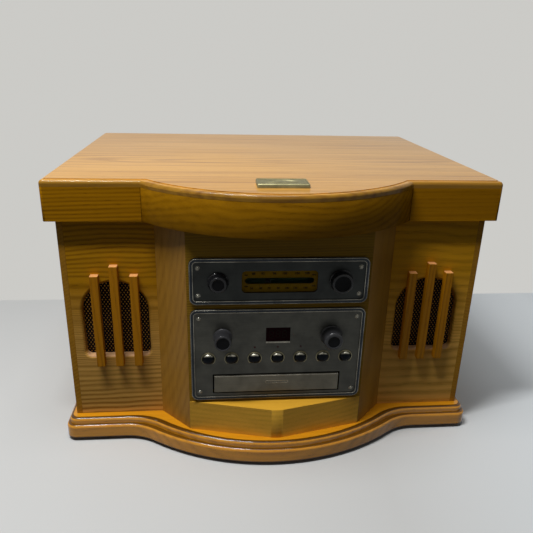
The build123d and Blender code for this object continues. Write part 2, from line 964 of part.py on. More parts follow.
# Disc drive: an open fronted box on two feet, the tray and the drawer's front
chassis_floor = drawer_z - tray_drop - tray_thickness / 2 - loose_gap
tray_low = chassis_floor + loose_gap
chassis_half = tray_half + chassis_gap
chassis_y = bay_y + chassis_start
drawer_face_y = panel_y - drawer_proud
tray_y = drawer_face_y + drawer_thickness
disc_y = tray_y + disc_front + disc_radius
with BuildPart() as disc_drive_chassis:
    with BuildSketch(facing(chassis_y)):
        with Locations((0, chassis_floor + chassis_inside / 2)):
            Rectangle(2 * (chassis_half + chassis_wall), chassis_inside + 2 * chassis_wall)
            Rectangle(2 * chassis_half, chassis_inside, mode=Mode.SUBTRACT)
    extrude(amount=-chassis_length)
    with BuildSketch(facing(chassis_y + chassis_length)):
        with Locations((0, chassis_floor + chassis_inside / 2)):
            Rectangle(2 * (chassis_half + chassis_wall), chassis_inside + 2 * chassis_wall)
    extrude(amount=-chassis_wall)
    with BuildSketch(level(plinth_top)):
        for side in (-1, 1):
            with Locations((side * (chassis_half + chassis_wall / 2), chassis_y + chassis_length / 2)):
                Rectangle(chassis_wall, chassis_length)
    extrude(amount=chassis_floor - plinth_top)
    with BuildSketch(level(plinth_top)):
        for side in (-1, 1):
            with Locations((side * (chassis_half + chassis_foot / 2), chassis_y + chassis_length / 2)):
                Rectangle(chassis_foot, chassis_length)
    extrude(amount=chassis_wall)
    with BuildSketch(level(chassis_floor)):
        with Locations((0, disc_y)):
            Circle(hub_slot_half - hub_gap)
    extrude(amount=tray_thickness - disc_well_depth)
disc_drive_chassis.part.label = "disc_drive_chassis"

with BuildPart() as disc_tray:
    with BuildSketch(level(tray_low)):
        with Locations((0, tray_y + tray_length / 2)):
            Rectangle(2 * tray_half, tray_length)
    extrude(amount=tray_thickness)
    with BuildSketch(level(tray_low + tray_thickness)):
        with Locations((0, disc_y)):
            Circle(disc_radius)
    extrude(amount=-disc_well_depth, mode=Mode.SUBTRACT)
    with BuildSketch(level(tray_low)):
        with Locations((0, disc_y)):
            Circle(hub_slot_half)
        with Locations((0, (disc_y + tray_y + tray_length) / 2)):
            Rectangle(2 * hub_slot_half, tray_y + tray_length - disc_y)
    extrude(amount=tray_thickness, mode=Mode.SUBTRACT)
disc_tray.part.label = "disc_tray"

with BuildPart() as drawer_front:
    with BuildSketch(facing(tray_y)):
        with Locations((0, drawer_z)):
            Rectangle(drawer_width, drawer_height)
    extrude(amount=drawer_thickness)
    fillet(drawer_front.faces().sort_by(Axis.Y)[0].edges(), drawer_proud / 2)
drawer_front.part.label = "drawer_front"

# Amplifier board with a finned heat sink, and the mains transformer
with BuildPart() as amplifier_board:
    board_low = plinth_top + amplifier_lift
    with BuildSketch(level(board_low)):
        with Locations((amplifier_x, amplifier_y)):
            Rectangle(amplifier_width, amplifier_length)
    extrude(amount=board_thickness)
    with BuildSketch(level(plinth_top)):
        with Locations((amplifier_x, amplifier_y)):
            with GridLocations(amplifier_width - 4 * standoff_radius, amplifier_length - 4 * standoff_radius, 2, 2):
                Circle(standoff_radius)
    extrude(amount=amplifier_lift)
    with BuildSketch(level(board_low + board_thickness)):
        with Locations((amplifier_x, amplifier_y)):
            Rectangle(2 * board_thickness, heat_sink_length)
            with GridLocations(1, heat_sink_length / heat_sink_fins, 1, heat_sink_fins):
                Rectangle(amplifier_width / 3, board_thickness)
    extrude(amount=heat_sink_height)
    with BuildSketch(level(board_low + board_thickness)):
        with Locations((amplifier_x - amplifier_width / 3, amplifier_y)):
            with GridLocations(1, amplifier_length / 4, 1, 3):
                Circle(standoff_radius * 2.5)
    extrude(amount=heat_sink_height * 0.8)
amplifier_board.part.label = "amplifier_board"

with BuildPart() as mains_transformer:
    with BuildSketch(level(plinth_top)):
        with Locations((transformer_x, transformer_y)):
            Rectangle(transformer_length * 1.4, transformer_width * 0.6)
    extrude(amount=chassis_wall)
    with BuildSketch(level(plinth_top)):
        with Locations((transformer_x, transformer_y)):
            Rectangle(transformer_length, transformer_width)
    extrude(amount=transformer_height)
    with BuildSketch(facing(transformer_y)):
        with Locations((transformer_x, plinth_top + transformer_height / 2)):
            RectangleRounded(transformer_length * 0.62, transformer_height * 0.62, 4)
    extrude(amount=transformer_width * 0.8, both=True)
mains_transformer.part.label = "mains_transformer"

# Rear connectors: a plate of round sockets, and the mains lead's gland
with BuildPart() as rear_connectors:
    with BuildSketch(backing(rear_y, socket_x, socket_z)):
        RectangleRounded(socket_plate_width, socket_plate_height, 2)
    extrude(amount=socket_plate_thickness)
    with BuildSketch(backing(rear_y, socket_x, socket_z)):
        Rectangle(socket_hole_width - 2 * loose_gap, socket_hole_height - 2 * loose_gap)
    extrude(amount=-rear_board)
    with BuildSketch(backing(rear_y + socket_plate_thickness, socket_x, socket_z)):
        with GridLocations(socket_plate_height / 2, socket_plate_height / 2, 4, 1):
            Circle(socket_radius)
    extrude(amount=socket_reach)
    with BuildSketch(backing(rear_y + socket_plate_thickness, socket_x, socket_z)):
        with GridLocations(socket_plate_height / 2, socket_plate_height / 2, 4, 1):
            Circle(socket_radius / 3)
    extrude(amount=socket_reach, mode=Mode.SUBTRACT)
    with BuildSketch(backing(rear_y, gland_x, gland_z)):
        Circle(gland_flange)
    extrude(amount=gland_reach)
    gland_edges = rear_connectors.edges().filter_by_position(Axis.X, gland_x - 2 * gland_flange, 0)
    fillet(gland_edges.group_by(Axis.Y)[-1], gland_reach / 2)
    with BuildSketch(backing(rear_y, gland_x, gland_z)):
        Circle(gland_radius - running_gap)
    extrude(amount=-rear_board)
    with BuildSketch(backing(rear_y + gland_reach, gland_x, gland_z)):
        Circle(gland_bore)
    extrude(amount=-gland_reach - rear_board, mode=Mode.SUBTRACT)
rear_connectors.part.label = "rear_connectors"

# Turntable deck: board, bearing, turret for the tonearm, arm rest and lever mounts
belt_run = drive_ring_radius + loose_gap + belt_thickness
pulley_distance = drive_ring_radius + (platter_radius - platter_wall - drive_ring_radius) / 2
pulley_x = platter_x + pulley_distance * cos(radians(pulley_angle))
pulley_y = platter_y + pulley_distance * sin(radians(pulley_angle))
arm_z = deck_top + arm_height
tube_low = arm_z - arm_tube_radius
rest_y = arm_y - rest_reach
cue_z = tube_low - loose_gap - cue_shaft_radius
turret_top = deck_top + arm_turret_height
deck_side = side_inner - deck_gap
deck_back = rear_inner - deck_gap
with BuildPart() as deck_board:
    corners = front_corners(front_board + deck_gap)
    deck_front = corners[0][1]
    with BuildSketch(level(deck_bottom)):
        with BuildLine():
            Polyline(
                (-deck_side, deck_back), (-deck_side, deck_front), *corners, (deck_side, deck_front),
                (deck_side, deck_back), close=True,
            )
        make_face()
        with Locations((-side_inner + cleat_width / 2, notch_y)):
            Rectangle(cleat_width + 1, notch_length, mode=Mode.SUBTRACT)
    extrude(amount=deck_board_thickness)
    with BuildSketch(level(deck_bottom)):
        with Locations((platter_x, platter_y)):
            Circle(bearing_radius)
    extrude(amount=deck_board_thickness + platter_lift / 2 - spindle_below)
    with BuildSketch(level(deck_bottom)):
        with Locations((arm_x, arm_y)):
            Circle(bearing_radius)
    extrude(amount=deck_board_thickness - spindle_below)
    with BuildSketch(level(deck_top)):
        with Locations((arm_x, arm_y)):
            Circle(arm_turret_radius)
    extrude(amount=arm_turret_height)
    with BuildSketch(level(deck_top)):
        with Locations((arm_x + rest_width / 4, rest_y)):
            Rectangle(1.5 * rest_width, rest_width)
    extrude(amount=tube_low - loose_gap - deck_top)
    with BuildSketch(across(cue_ear_x)):
        with Locations((cue_y, (deck_top + cue_z + 2 * cue_shaft_radius) / 2)):
            Rectangle(4 * cue_shaft_radius, cue_z + 2 * cue_shaft_radius - deck_top)
    extrude(amount=rest_width * 0.6)
    with BuildSketch(level(deck_top)):
        with Locations((speed_x, speed_y)):
            Circle(speed_radius)
    extrude(amount=1)
    with BuildSketch(level(turret_top)):
        with Locations((arm_x, arm_y)):
            Circle(arm_post_radius + running_gap)
    extrude(amount=-arm_turret_height - spindle_below - 1, mode=Mode.SUBTRACT)
    with BuildSketch(level(deck_top)):
        with Locations((platter_x, platter_y)):
            Circle(spindle_radius + running_gap)
    extrude(amount=-spindle_below, mode=Mode.SUBTRACT)
    with BuildSketch(level(deck_top)):
        with Locations((pulley_x, pulley_y)):
            Circle(pulley_radius / 2)
    extrude(amount=-deck_board_thickness, mode=Mode.SUBTRACT)
    with BuildSketch(level(deck_top + 1)):
        with Locations((speed_x, speed_y)):
            Circle(cue_shaft_radius + running_gap)
    extrude(amount=-deck_board_thickness - 1, mode=Mode.SUBTRACT)
    with BuildSketch(across(cue_ear_x - rest_width)):
        with Locations((cue_y, cue_z)):
            Circle(cue_shaft_radius + running_gap)
    extrude(amount=2 * rest_width, mode=Mode.SUBTRACT)
    # The pad that stops the tube at its rest is a piece of its own on the post
    with BuildSketch(level(tube_low - loose_gap + running_gap)):
        with Locations((arm_x + arm_tube_radius + loose_gap + rest_width / 4, rest_y)):
            Rectangle(rest_width / 2, rest_width)
    extrude(amount=arm_tube_radius)
deck_board.part.label = "deck_board"

# Platter with its drive ring underneath, mat and spindle
platter_low = deck_top + platter_lift
platter_top = platter_low + platter_height
with BuildPart() as platter:
    with BuildSketch(level(platter_low)):
        with Locations((platter_x, platter_y)):
            Circle(platter_radius)
    extrude(amount=platter_height)
    fillet(platter.faces().sort_by(Axis.Z)[-1].edges(), platter_wall / 2)
    with BuildSketch(level(platter_low)):
        with Locations((platter_x, platter_y)):
            Circle(platter_radius - platter_wall)
            Circle(drive_ring_radius, mode=Mode.SUBTRACT)
            Circle(drive_ring_radius - drive_ring_wall)
            Circle(bearing_radius, mode=Mode.SUBTRACT)
    extrude(amount=platter_height - platter_wall, mode=Mode.SUBTRACT)
    with BuildSketch(level(platter_low)):
        with Locations((platter_x, platter_y)):
            Circle(spindle_radius)
    extrude(amount=platter_height, mode=Mode.SUBTRACT)
platter.part.label = "platter"

with BuildPart() as platter_mat:
    with BuildSketch(level(platter_top)):
        with Locations((platter_x, platter_y)):
            Circle(mat_radius)
            Circle(spindle_radius, mode=Mode.SUBTRACT)
    extrude(amount=mat_thickness)
platter_mat.part.label = "platter_mat"

mat_top = platter_top + mat_thickness
with BuildPart() as spindle:
    with BuildSketch(level(deck_top - spindle_below + loose_gap)):
        with Locations((platter_x, platter_y)):
            Circle(spindle_radius)
    extrude(amount=mat_top + spindle_above - deck_top + spindle_below - loose_gap)
    fillet(spindle.faces().sort_by(Axis.Z)[-1].edges(), spindle_radius * 0.8)
spindle.part.label = "spindle"

# Motor under the deck, its pulley and the belt round the drive ring
with BuildPart() as turntable_motor:
    with BuildSketch(level(deck_bottom)):
        with Locations((pulley_x, pulley_y)):
            Circle(motor_radius)
            Circle(motor_shaft_radius + running_gap, mode=Mode.SUBTRACT)
    extrude(amount=-motor_height)
turntable_motor.part.label = "turntable_motor"

belt_z = platter_low + (platter_height - platter_wall - belt_height) / 2
with BuildPart() as motor_pulley:
    with BuildSketch(level(belt_z - 1)):
        with Locations((pulley_x, pulley_y)):
            Circle(pulley_radius)
    extrude(amount=belt_height + 2)
    with BuildSketch(level(deck_bottom - motor_height / 2)):
        with Locations((pulley_x, pulley_y)):
            Circle(motor_shaft_radius)
    extrude(amount=belt_z - deck_bottom + motor_height / 2)
motor_pulley.part.label = "motor_pulley"


def belt_loop(margin):
    """Outline round the drive ring and the pulley, grown by margin."""
    lean = asin((drive_ring_radius - pulley_radius) / pulley_distance)
    big = drive_ring_radius + margin
    small = pulley_radius + margin
    turn = radians(pulley_angle)

    def around(x, y, radius, angle):
        return (x + radius * cos(angle), y + radius * sin(angle))

    up = turn + pi / 2 - lean
    down = turn - pi / 2 + lean
    with BuildSketch() as loop:
        with BuildLine():
            Line(around(platter_x, platter_y, big, up), around(pulley_x, pulley_y, small, up))
            ThreePointArc(
                around(pulley_x, pulley_y, small, up),
                around(pulley_x, pulley_y, small, turn),
                around(pulley_x, pulley_y, small, down),
            )
            Line(around(pulley_x, pulley_y, small, down), around(platter_x, platter_y, big, down))
            ThreePointArc(
                around(platter_x, platter_y, big, down),
                around(platter_x, platter_y, big, turn + pi),
                around(platter_x, platter_y, big, up),
            )
        make_face()
    return loop.sketch


with BuildPart() as drive_belt:
    with BuildSketch(level(belt_z)):
        add(belt_loop(loose_gap / 2 + belt_thickness))
    extrude(amount=belt_height)
    with BuildSketch(level(belt_z)):
        add(belt_loop(loose_gap / 2))
    extrude(amount=belt_height, mode=Mode.SUBTRACT)
drive_belt.part.label = "drive_belt"

# Tonearm: yoke on a vertical post, tube with its rear weight, and the cartridge shell
yoke_base = turret_top + loose_gap
yoke_gap = arm_block_width / 2 + loose_gap
with BuildPart() as tonearm_yoke:
    with BuildSketch(level(yoke_base)):
        with Locations((arm_x, arm_y)):
            Circle(arm_turret_radius)
    extrude(amount=arm_ear)
    with BuildSketch(level(yoke_base)):
        for side in (-1, 1):
            with Locations((arm_x + side * (yoke_gap + arm_ear / 2), arm_y)):
                Rectangle(arm_ear, arm_block_length / 1.5)
    extrude(amount=arm_z + arm_block_length / 3 - yoke_base)
    with BuildSketch(across(arm_x - arm_turret_radius)):
        with Locations((arm_y, arm_z)):
            Circle(arm_pin_radius + running_gap)
    extrude(amount=2 * arm_turret_radius, mode=Mode.SUBTRACT)
    with BuildSketch(level(yoke_base)):
        with Locations((arm_x, arm_y)):
            Circle(arm_post_radius)
    extrude(amount=-arm_turret_height - spindle_below + 1)
tonearm_yoke.part.label = "tonearm_yoke"

tube_end_y = arm_y - arm_tube_length
with BuildPart() as tonearm_tube:
    with BuildSketch(facing(arm_y - arm_block_length / 2)):
        with Locations((arm_x, arm_z)):
            Circle(arm_tube_radius)
    extrude(amount=arm_tube_length - arm_block_length / 2)
    with BuildSketch(facing(arm_y + arm_block_length / 2)):
        with Locations((arm_x, arm_z)):
            Rectangle(arm_block_width, arm_block_length / 1.5)
    extrude(amount=arm_block_length)
    with BuildSketch(facing(arm_y + arm_turret_radius + arm_weight_length)):
        with Locations((arm_x, arm_z)):
            Circle(arm_weight_radius)
    extrude(amount=arm_weight_length)
    with BuildSketch(facing(arm_y + arm_turret_radius + 1)):
        with Locations((arm_x, arm_z)):
            Circle(arm_tube_radius)
    extrude(amount=arm_turret_radius)
    with BuildSketch(across(arm_x - yoke_gap - arm_ear)):
        with Locations((arm_y, arm_z)):
            Circle(arm_pin_radius)
    extrude(amount=2 * (yoke_gap + arm_ear))
tonearm_tube.part.label = "tonearm_tube"

stylus_tip = mat_top + stylus_height
shell_plane = Plane((arm_x, tube_end_y, arm_z), x_dir=(1, 0, 0), z_dir=(0, 0, 1)).rotated((0, 0, -shell_angle))
with BuildPart() as cartridge_shell:
    with BuildSketch(shell_plane.offset(-arm_tube_radius / 2)):
        with Locations((0, arm_tube_radius - shell_length / 2)):
            RectangleRounded(shell_width, shell_length, 3)
    extrude(amount=arm_tube_radius)
    with BuildSketch(level(arm_z - arm_tube_radius)):
        with Locations((arm_x, tube_end_y + shell_length / 2)):
            Rectangle(3 * shell_width, shell_length)
    extrude(amount=2 * arm_tube_radius, mode=Mode.SUBTRACT)
    with BuildSketch(shell_plane.offset(-arm_tube_radius / 2)):
        with Locations((0, -shell_length / 2)):
            Rectangle(shell_width * 0.7, shell_length * 0.5)
    extrude(amount=stylus_tip + 1.5 - arm_z + arm_tube_radius / 2)
    with BuildSketch(shell_plane.offset(stylus_tip - arm_z)):
        with Locations((0, -shell_length * 0.62)):
            Circle(0.5)
    extrude(amount=3)
cartridge_shell.part.label = "cartridge_shell"

# Cue lever: a cross shaft with the lifting bar at one end and a handle at the other
with BuildPart() as cue_lever:
    with BuildSketch(across(cue_link_x)):
        with Locations((cue_y, cue_z)):
            Circle(cue_shaft_radius)
    extrude(amount=cue_handle_x - cue_link_x)
    with BuildSketch(across(cue_link_x)):
        with Locations((cue_y - cue_bar_reach / 2, cue_z)):
            Rectangle(cue_bar_reach, 2 * cue_shaft_radius)
    extrude(amount=2 * cue_shaft_radius)
    with BuildSketch(across(cue_bar_x)):
        with Locations((cue_y - cue_bar_reach, cue_z)):
            Circle(cue_shaft_radius)
    extrude(amount=cue_link_x + 2 * cue_shaft_radius - cue_bar_x)
    with BuildSketch(across(cue_handle_x - 2 * cue_shaft_radius)):
        with Locations((cue_y - cue_handle_length / 2, cue_z)):
            SlotOverall(cue_handle_length, 2 * cue_shaft_radius)
    extrude(amount=2 * cue_shaft_radius)
cue_lever.part.label = "cue_lever"

with BuildPart() as speed_lever:
    with BuildSketch(level(deck_top + 1 + loose_gap)):
        with Locations((speed_x, speed_y)):
            Circle(speed_radius)
        with Locations((speed_x, speed_y - speed_lever_length / 2)):
            SlotOverall(speed_lever_length, speed_radius * 0.7, rotation=90)
    extrude(amount=speed_radius / 2)
    with BuildSketch(level(deck_top + 1 + loose_gap)):
        with Locations((speed_x, speed_y)):
            Circle(cue_shaft_radius)
    extrude(amount=-deck_board_thickness)
speed_lever.part.label = "speed_lever"


# Lid: a board with a routed edge over five rails mitred together
def lid_board_layer(bottom, height, inset, round_over):
    with BuildPart() as layer:
        with BuildSketch(level(bottom)) as plan:
            add(bowed_plan(lid_half, front_y, lid_bow_half, lid_bow, inset, rear_y - inset))
            fillet(near_x(plan.vertices(), lid_half - inset), lid_corner)
        extrude(amount=height)
        if round_over:
            fillet(layer.faces().sort_by(Axis.Z)[-1].edges(), round_over)
    return layer.part


lid_layers = [
    lid_board_layer(rail_top, lid_board - lid_edge_step, 0, lid_edge_round),
    lid_board_layer(lid_top - lid_edge_step, lid_edge_step, lid_edge_round + lid_edge_ledge, 0),
]
with BuildPart() as lid_top_board:
    for layer in lid_layers:
        add(layer)
lid_top_board.part.label = "lid_top_board"

bow_outer = (lid_bow_half, front_y)
bow_inner = (bow_end(lid_bow_half, lid_bow, lid_rail), front_y + lid_rail)
corner_outer = (lid_half, front_y)
corner_inner = (lid_half - lid_rail, front_y + lid_rail)
back_outer = (lid_half, rear_y)
back_inner = (lid_half - lid_rail, rear_y - lid_rail)


def flipped(point):
    return (-point[0], point[1])


def lid_rail_piece(points):
    """The part of the lid's frame that lies inside this outline."""
    with BuildPart() as rail:
        with BuildSketch(level(lid_bottom)) as ring:
            add(bowed_plan(lid_half, front_y, lid_bow_half, lid_bow, 0, rear_y))
            fillet(near_x(ring.vertices(), lid_half), lid_corner)
            inside = bowed_plan(lid_half, front_y, lid_bow_half, lid_bow, lid_rail, rear_y - lid_rail)
            add(inside, mode=Mode.SUBTRACT)
            Polygon(*points, align=None, mode=Mode.INTERSECT)
        extrude(amount=rail_top - lid_bottom)
    return rail.part


with BuildPart() as lid_bow_rail:
    far = front_y - lid_bow - 1
    add(
        lid_rail_piece(
            [flipped(bow_inner), flipped(bow_outer), (-lid_bow_half, far), (lid_bow_half, far), bow_outer, bow_inner]
        )
    )
lid_bow_rail.part.label = "lid_bow_rail"

with BuildPart() as lid_front_rails:
    add(lid_rail_piece([bow_outer, corner_outer, corner_inner, bow_inner]))
    mirror(about=Plane.YZ)
lid_front_rails.part.label = "lid_front_rails"

with BuildPart() as lid_side_rails:
    add(lid_rail_piece([corner_outer, back_outer, back_inner, corner_inner]))
    mirror(about=Plane.YZ)
lid_side_rails.part.label = "lid_side_rails"

with BuildPart() as lid_rear_rail:
    add(lid_rail_piece([back_outer, flipped(back_outer), flipped(back_inner), back_inner]))
lid_rear_rail.part.label = "lid_rear_rail"

badge_y = front_y - lid_bow + badge_setback + badge_depth / 2
with BuildPart() as name_plate:
    with BuildSketch(level(lid_top)):
        with Locations((0, badge_y)):
            RectangleRounded(badge_width, badge_depth, 2 * badge_bevel)
    extrude(amount=badge_height)
    chamfer(name_plate.faces().sort_by(Axis.Z)[-1].edges(), badge_bevel)
    with BuildSketch(level(lid_top + badge_height)):
        with Locations((0, badge_y)):
            RectangleRounded(badge_width - 2 * badge_rim - 2 * badge_bevel,
                             badge_depth - 2 * badge_rim - 2 * badge_bevel, badge_bevel)
    extrude(amount=-badge_recess, mode=Mode.SUBTRACT)
name_plate.part.label = "name_plate"

# Lid hinges: three knuckles, the middle one on the lid's leaf, the pin on the cabinet's
knuckle_width = hinge_width / 3
leaf_start = knuckle_radius + 2 * knuckle_gap


def hinge_leaf_part(x, up, ends):
    """One leaf at x, going up or down, with its knuckles at the ends or in the middle."""
    low = hinge_z + leaf_start if up > 0 else hinge_z - leaf_start - hinge_leaf_height
    steps = (-1, 1) if ends else (0,)
    width = knuckle_width - 2 * loose_gap
    with BuildPart() as leaf:
        with BuildSketch(level(low)):
            with Locations((x, rear_y + hinge_leaf / 2)):
                Rectangle(hinge_width, hinge_leaf)
        extrude(amount=hinge_leaf_height)
        for step in steps:
            with BuildSketch(across(x + step * knuckle_width - width / 2)):
                with Locations((hinge_y, hinge_z)):
                    Circle(knuckle_radius)
                with Locations((rear_y + hinge_leaf / 2 + knuckle_gap / 2, hinge_z + up * leaf_start / 2)):
                    Rectangle(hinge_leaf - knuckle_gap, leaf_start)
            extrude(amount=width)
        bore = hinge_pin_radius + running_gap
        with BuildSketch(across(x - hinge_width / 2)):
            with Locations((hinge_y, hinge_z)):
                Circle(bore)
        extrude(amount=hinge_width, mode=Mode.SUBTRACT)
        if ends:
            with BuildSketch(across(x - hinge_width / 2 + loose_gap)):
                with Locations((hinge_y, hinge_z)):
                    Circle(hinge_pin_radius)
            extrude(amount=hinge_width - 2 * loose_gap)
            for step in steps:
                with BuildSketch(across(x + step * knuckle_width - width / 4)):
                    with Locations((hinge_y, hinge_z)):
                        Circle(bore)
                extrude(amount=width / 2)
    return leaf.part


# The lid's stay: studs on the lid and the cabinet, and the slotted arm between them
stay_inner = -stay_x + stay_thickness / 2
stay_outer = -stay_x - stay_thickness / 2


def stay_stud(wall_x, y, z):
    """A stud from the wall at wall_x: spacer, pin through the arm, and head."""
    with BuildPart() as stud:
        with BuildSketch(across(wall_x)):
            with Locations((y, z)):
                Circle(2 * stay_pin_radius)
        extrude(amount=stay_outer - stay_side_gap - wall_x)
        with BuildSketch(across(wall_x)):
            with Locations((y, z)):
                Circle(stay_pin_radius)
        extrude(amount=stay_inner + stay_side_gap - wall_x)
        with BuildSketch(across(stay_inner + stay_side_gap)):
            with Locations((y, z)):
                Circle(1.7 * stay_pin_radius)
        extrude(amount=stay_thickness)
    return stud.part


cabinet_hardware = [hinge_leaf_part(x, -1, True) for x in (-hinge_x, hinge_x)]
cabinet_hardware.append(stay_stud(-side_inner, stay_guide_y, stay_guide_z))
with BuildPart() as cabinet_hinge_set:
    for piece in cabinet_hardware:
        add(piece)
cabinet_hinge_set.part.label = "cabinet_hinge_set"

lid_hardware = [hinge_leaf_part(x, 1, False) for x in (-hinge_x, hinge_x)]
lid_hardware.append(stay_stud(lid_rail - lid_half, stay_lid_y, stay_lid_z))
with BuildPart() as lid_hinge_set:
    for piece in lid_hardware:
        add(piece)
lid_hinge_set.part.label = "lid_hinge_set"

# The fixed pin slides along the arm as the lid opens, by a chord of the crank circle
crank_angle = asin(stay_guide_drop / stay_crank) + asin(stay_lid_height / stay_crank)
closed_reach = 2 * stay_crank * sin(crank_angle / 2)
open_reach = 2 * stay_crank * sin((crank_angle + radians(lid_open)) / 2)
stay_lean = atan2(stay_guide_y - stay_lid_y, stay_lid_z - stay_guide_z)
stay_plane = Plane(
    (stay_outer, stay_lid_y, stay_lid_z), x_dir=(0, cos(stay_lean), sin(stay_lean)), z_dir=(1, 0, 0)
)
with BuildPart() as stay_arm:
    slot_start = closed_reach - stay_pin_radius - stay_slot_gap
    slot_end = open_reach + stay_pin_radius + stay_slot_gap
    with BuildSketch(stay_plane):
        with Locations((0, -(slot_end + stay_width / 4) / 2)):
            SlotOverall(slot_end + stay_width, stay_width, rotation=90)
        Circle(stay_pin_radius + running_gap, mode=Mode.SUBTRACT)
        with Locations((0, -(slot_start + slot_end) / 2)):
            SlotOverall(slot_end - slot_start, 2 * (stay_pin_radius + stay_slot_gap), rotation=90, mode=Mode.SUBTRACT)
    extrude(amount=stay_thickness)
stay_arm.part.label = "stay_arm"

pieces = [
    base_plinth.part,
    rubber_feet.part,
    left_side_panel.part,
    right_side_panel.part,
    rear_panel.part,
    left_front_baffle.part,
    right_front_baffle.part,
    corner_panels.part,
    centre_front_board.part,
    front_apron.part,
    grille_slats.part,
    speaker_meshes.part,
    speaker_drivers.part,
    radio_faceplate.part,
    disc_faceplate.part,
    dial_window.part,
    dial_scale.part,
    dial_pointer.part,
    display_window.part,
    indicator_lamps.part,
    panel_screws.part,
    volume_knob.part,
    tuning_knob.part,
    function_knob.part,
    tone_knob.part,
    *buttons,
    control_boards.part,
    disc_drive_chassis.part,
    disc_tray.part,
    drawer_front.part,
    amplifier_board.part,
    mains_transformer.part,
    rear_connectors.part,
    deck_board.part,
    platter.part,
    platter_mat.part,
    spindle.part,
    turntable_motor.part,
    motor_pulley.part,
    drive_belt.part,
    tonearm_yoke.part,
    tonearm_tube.part,
    cartridge_shell.part,
    cue_lever.part,
    speed_lever.part,
    lid_top_board.part,
    lid_bow_rail.part,
    lid_front_rails.part,
    lid_side_rails.part,
    lid_rear_rail.part,
    name_plate.part,
    cabinet_hinge_set.part,
    lid_hinge_set.part,
    stay_arm.part,
]

os.makedirs("parts", exist_ok=True)
for piece in pieces:
    export_step(piece, f"parts/{piece.label}.step")
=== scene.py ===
from math import cos, pi, radians, sin

import bpy
from mathutils import Matrix, Vector


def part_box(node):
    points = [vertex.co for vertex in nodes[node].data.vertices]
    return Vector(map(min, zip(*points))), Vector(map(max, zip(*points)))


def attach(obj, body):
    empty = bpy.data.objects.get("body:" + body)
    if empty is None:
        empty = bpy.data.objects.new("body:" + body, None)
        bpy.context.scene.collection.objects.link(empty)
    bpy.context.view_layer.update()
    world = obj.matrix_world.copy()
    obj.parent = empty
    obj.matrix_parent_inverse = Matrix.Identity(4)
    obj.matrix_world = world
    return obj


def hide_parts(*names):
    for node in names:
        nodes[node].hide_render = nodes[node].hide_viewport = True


# A wooden music centre: record player under a bow-fronted lid, radio, disc drawer.
# Sizes are written in millimetres and turned into metres where a mesh is made.
MM = 0.001
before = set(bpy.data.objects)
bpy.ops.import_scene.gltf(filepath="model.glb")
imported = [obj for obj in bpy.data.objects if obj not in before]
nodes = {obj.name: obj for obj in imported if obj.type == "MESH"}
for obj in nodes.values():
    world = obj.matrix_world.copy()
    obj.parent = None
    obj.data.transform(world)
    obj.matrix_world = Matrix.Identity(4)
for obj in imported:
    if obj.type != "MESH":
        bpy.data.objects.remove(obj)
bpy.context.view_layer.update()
scene = bpy.context.scene
scene.view_settings.view_transform = "Standard"


def low_high(node):
    """A node's lowest and highest corner in millimetres."""
    low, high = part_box(node)
    return low / MM, high / MM


# Camera, from a fit to the photo's edges
FOCAL_PX = 551.9
IMAGE_PX = 533
CAMERA_AT = Vector((-69.2, -736.55, 446.3))
CAMERA_YAW = radians(-5.61)
CAMERA_PITCH = radians(20.81)
CAMERA_ROLL = radians(1.47)


def add_camera():
    forward = Vector((
        -sin(CAMERA_YAW) * cos(CAMERA_PITCH), cos(CAMERA_YAW) * cos(CAMERA_PITCH), -sin(CAMERA_PITCH)
    ))
    level_right = Vector((cos(CAMERA_YAW), sin(CAMERA_YAW), 0))
    level_up = level_right.cross(forward)
    right = cos(CAMERA_ROLL) * level_right + sin(CAMERA_ROLL) * level_up
    up = cos(CAMERA_ROLL) * level_up - sin(CAMERA_ROLL) * level_right
    data = bpy.data.cameras.new("camera")
    data.sensor_width = 36
    data.lens = FOCAL_PX / IMAGE_PX * data.sensor_width
    data.clip_start = 0.01
    data.clip_end = 100
    camera = bpy.data.objects.new("camera", data)
    scene.collection.objects.link(camera)
    turn = Matrix((right, up, -forward)).transposed().to_4x4()
    camera.matrix_world = Matrix.Translation(CAMERA_AT * MM) @ turn
    scene.camera = camera


add_camera()


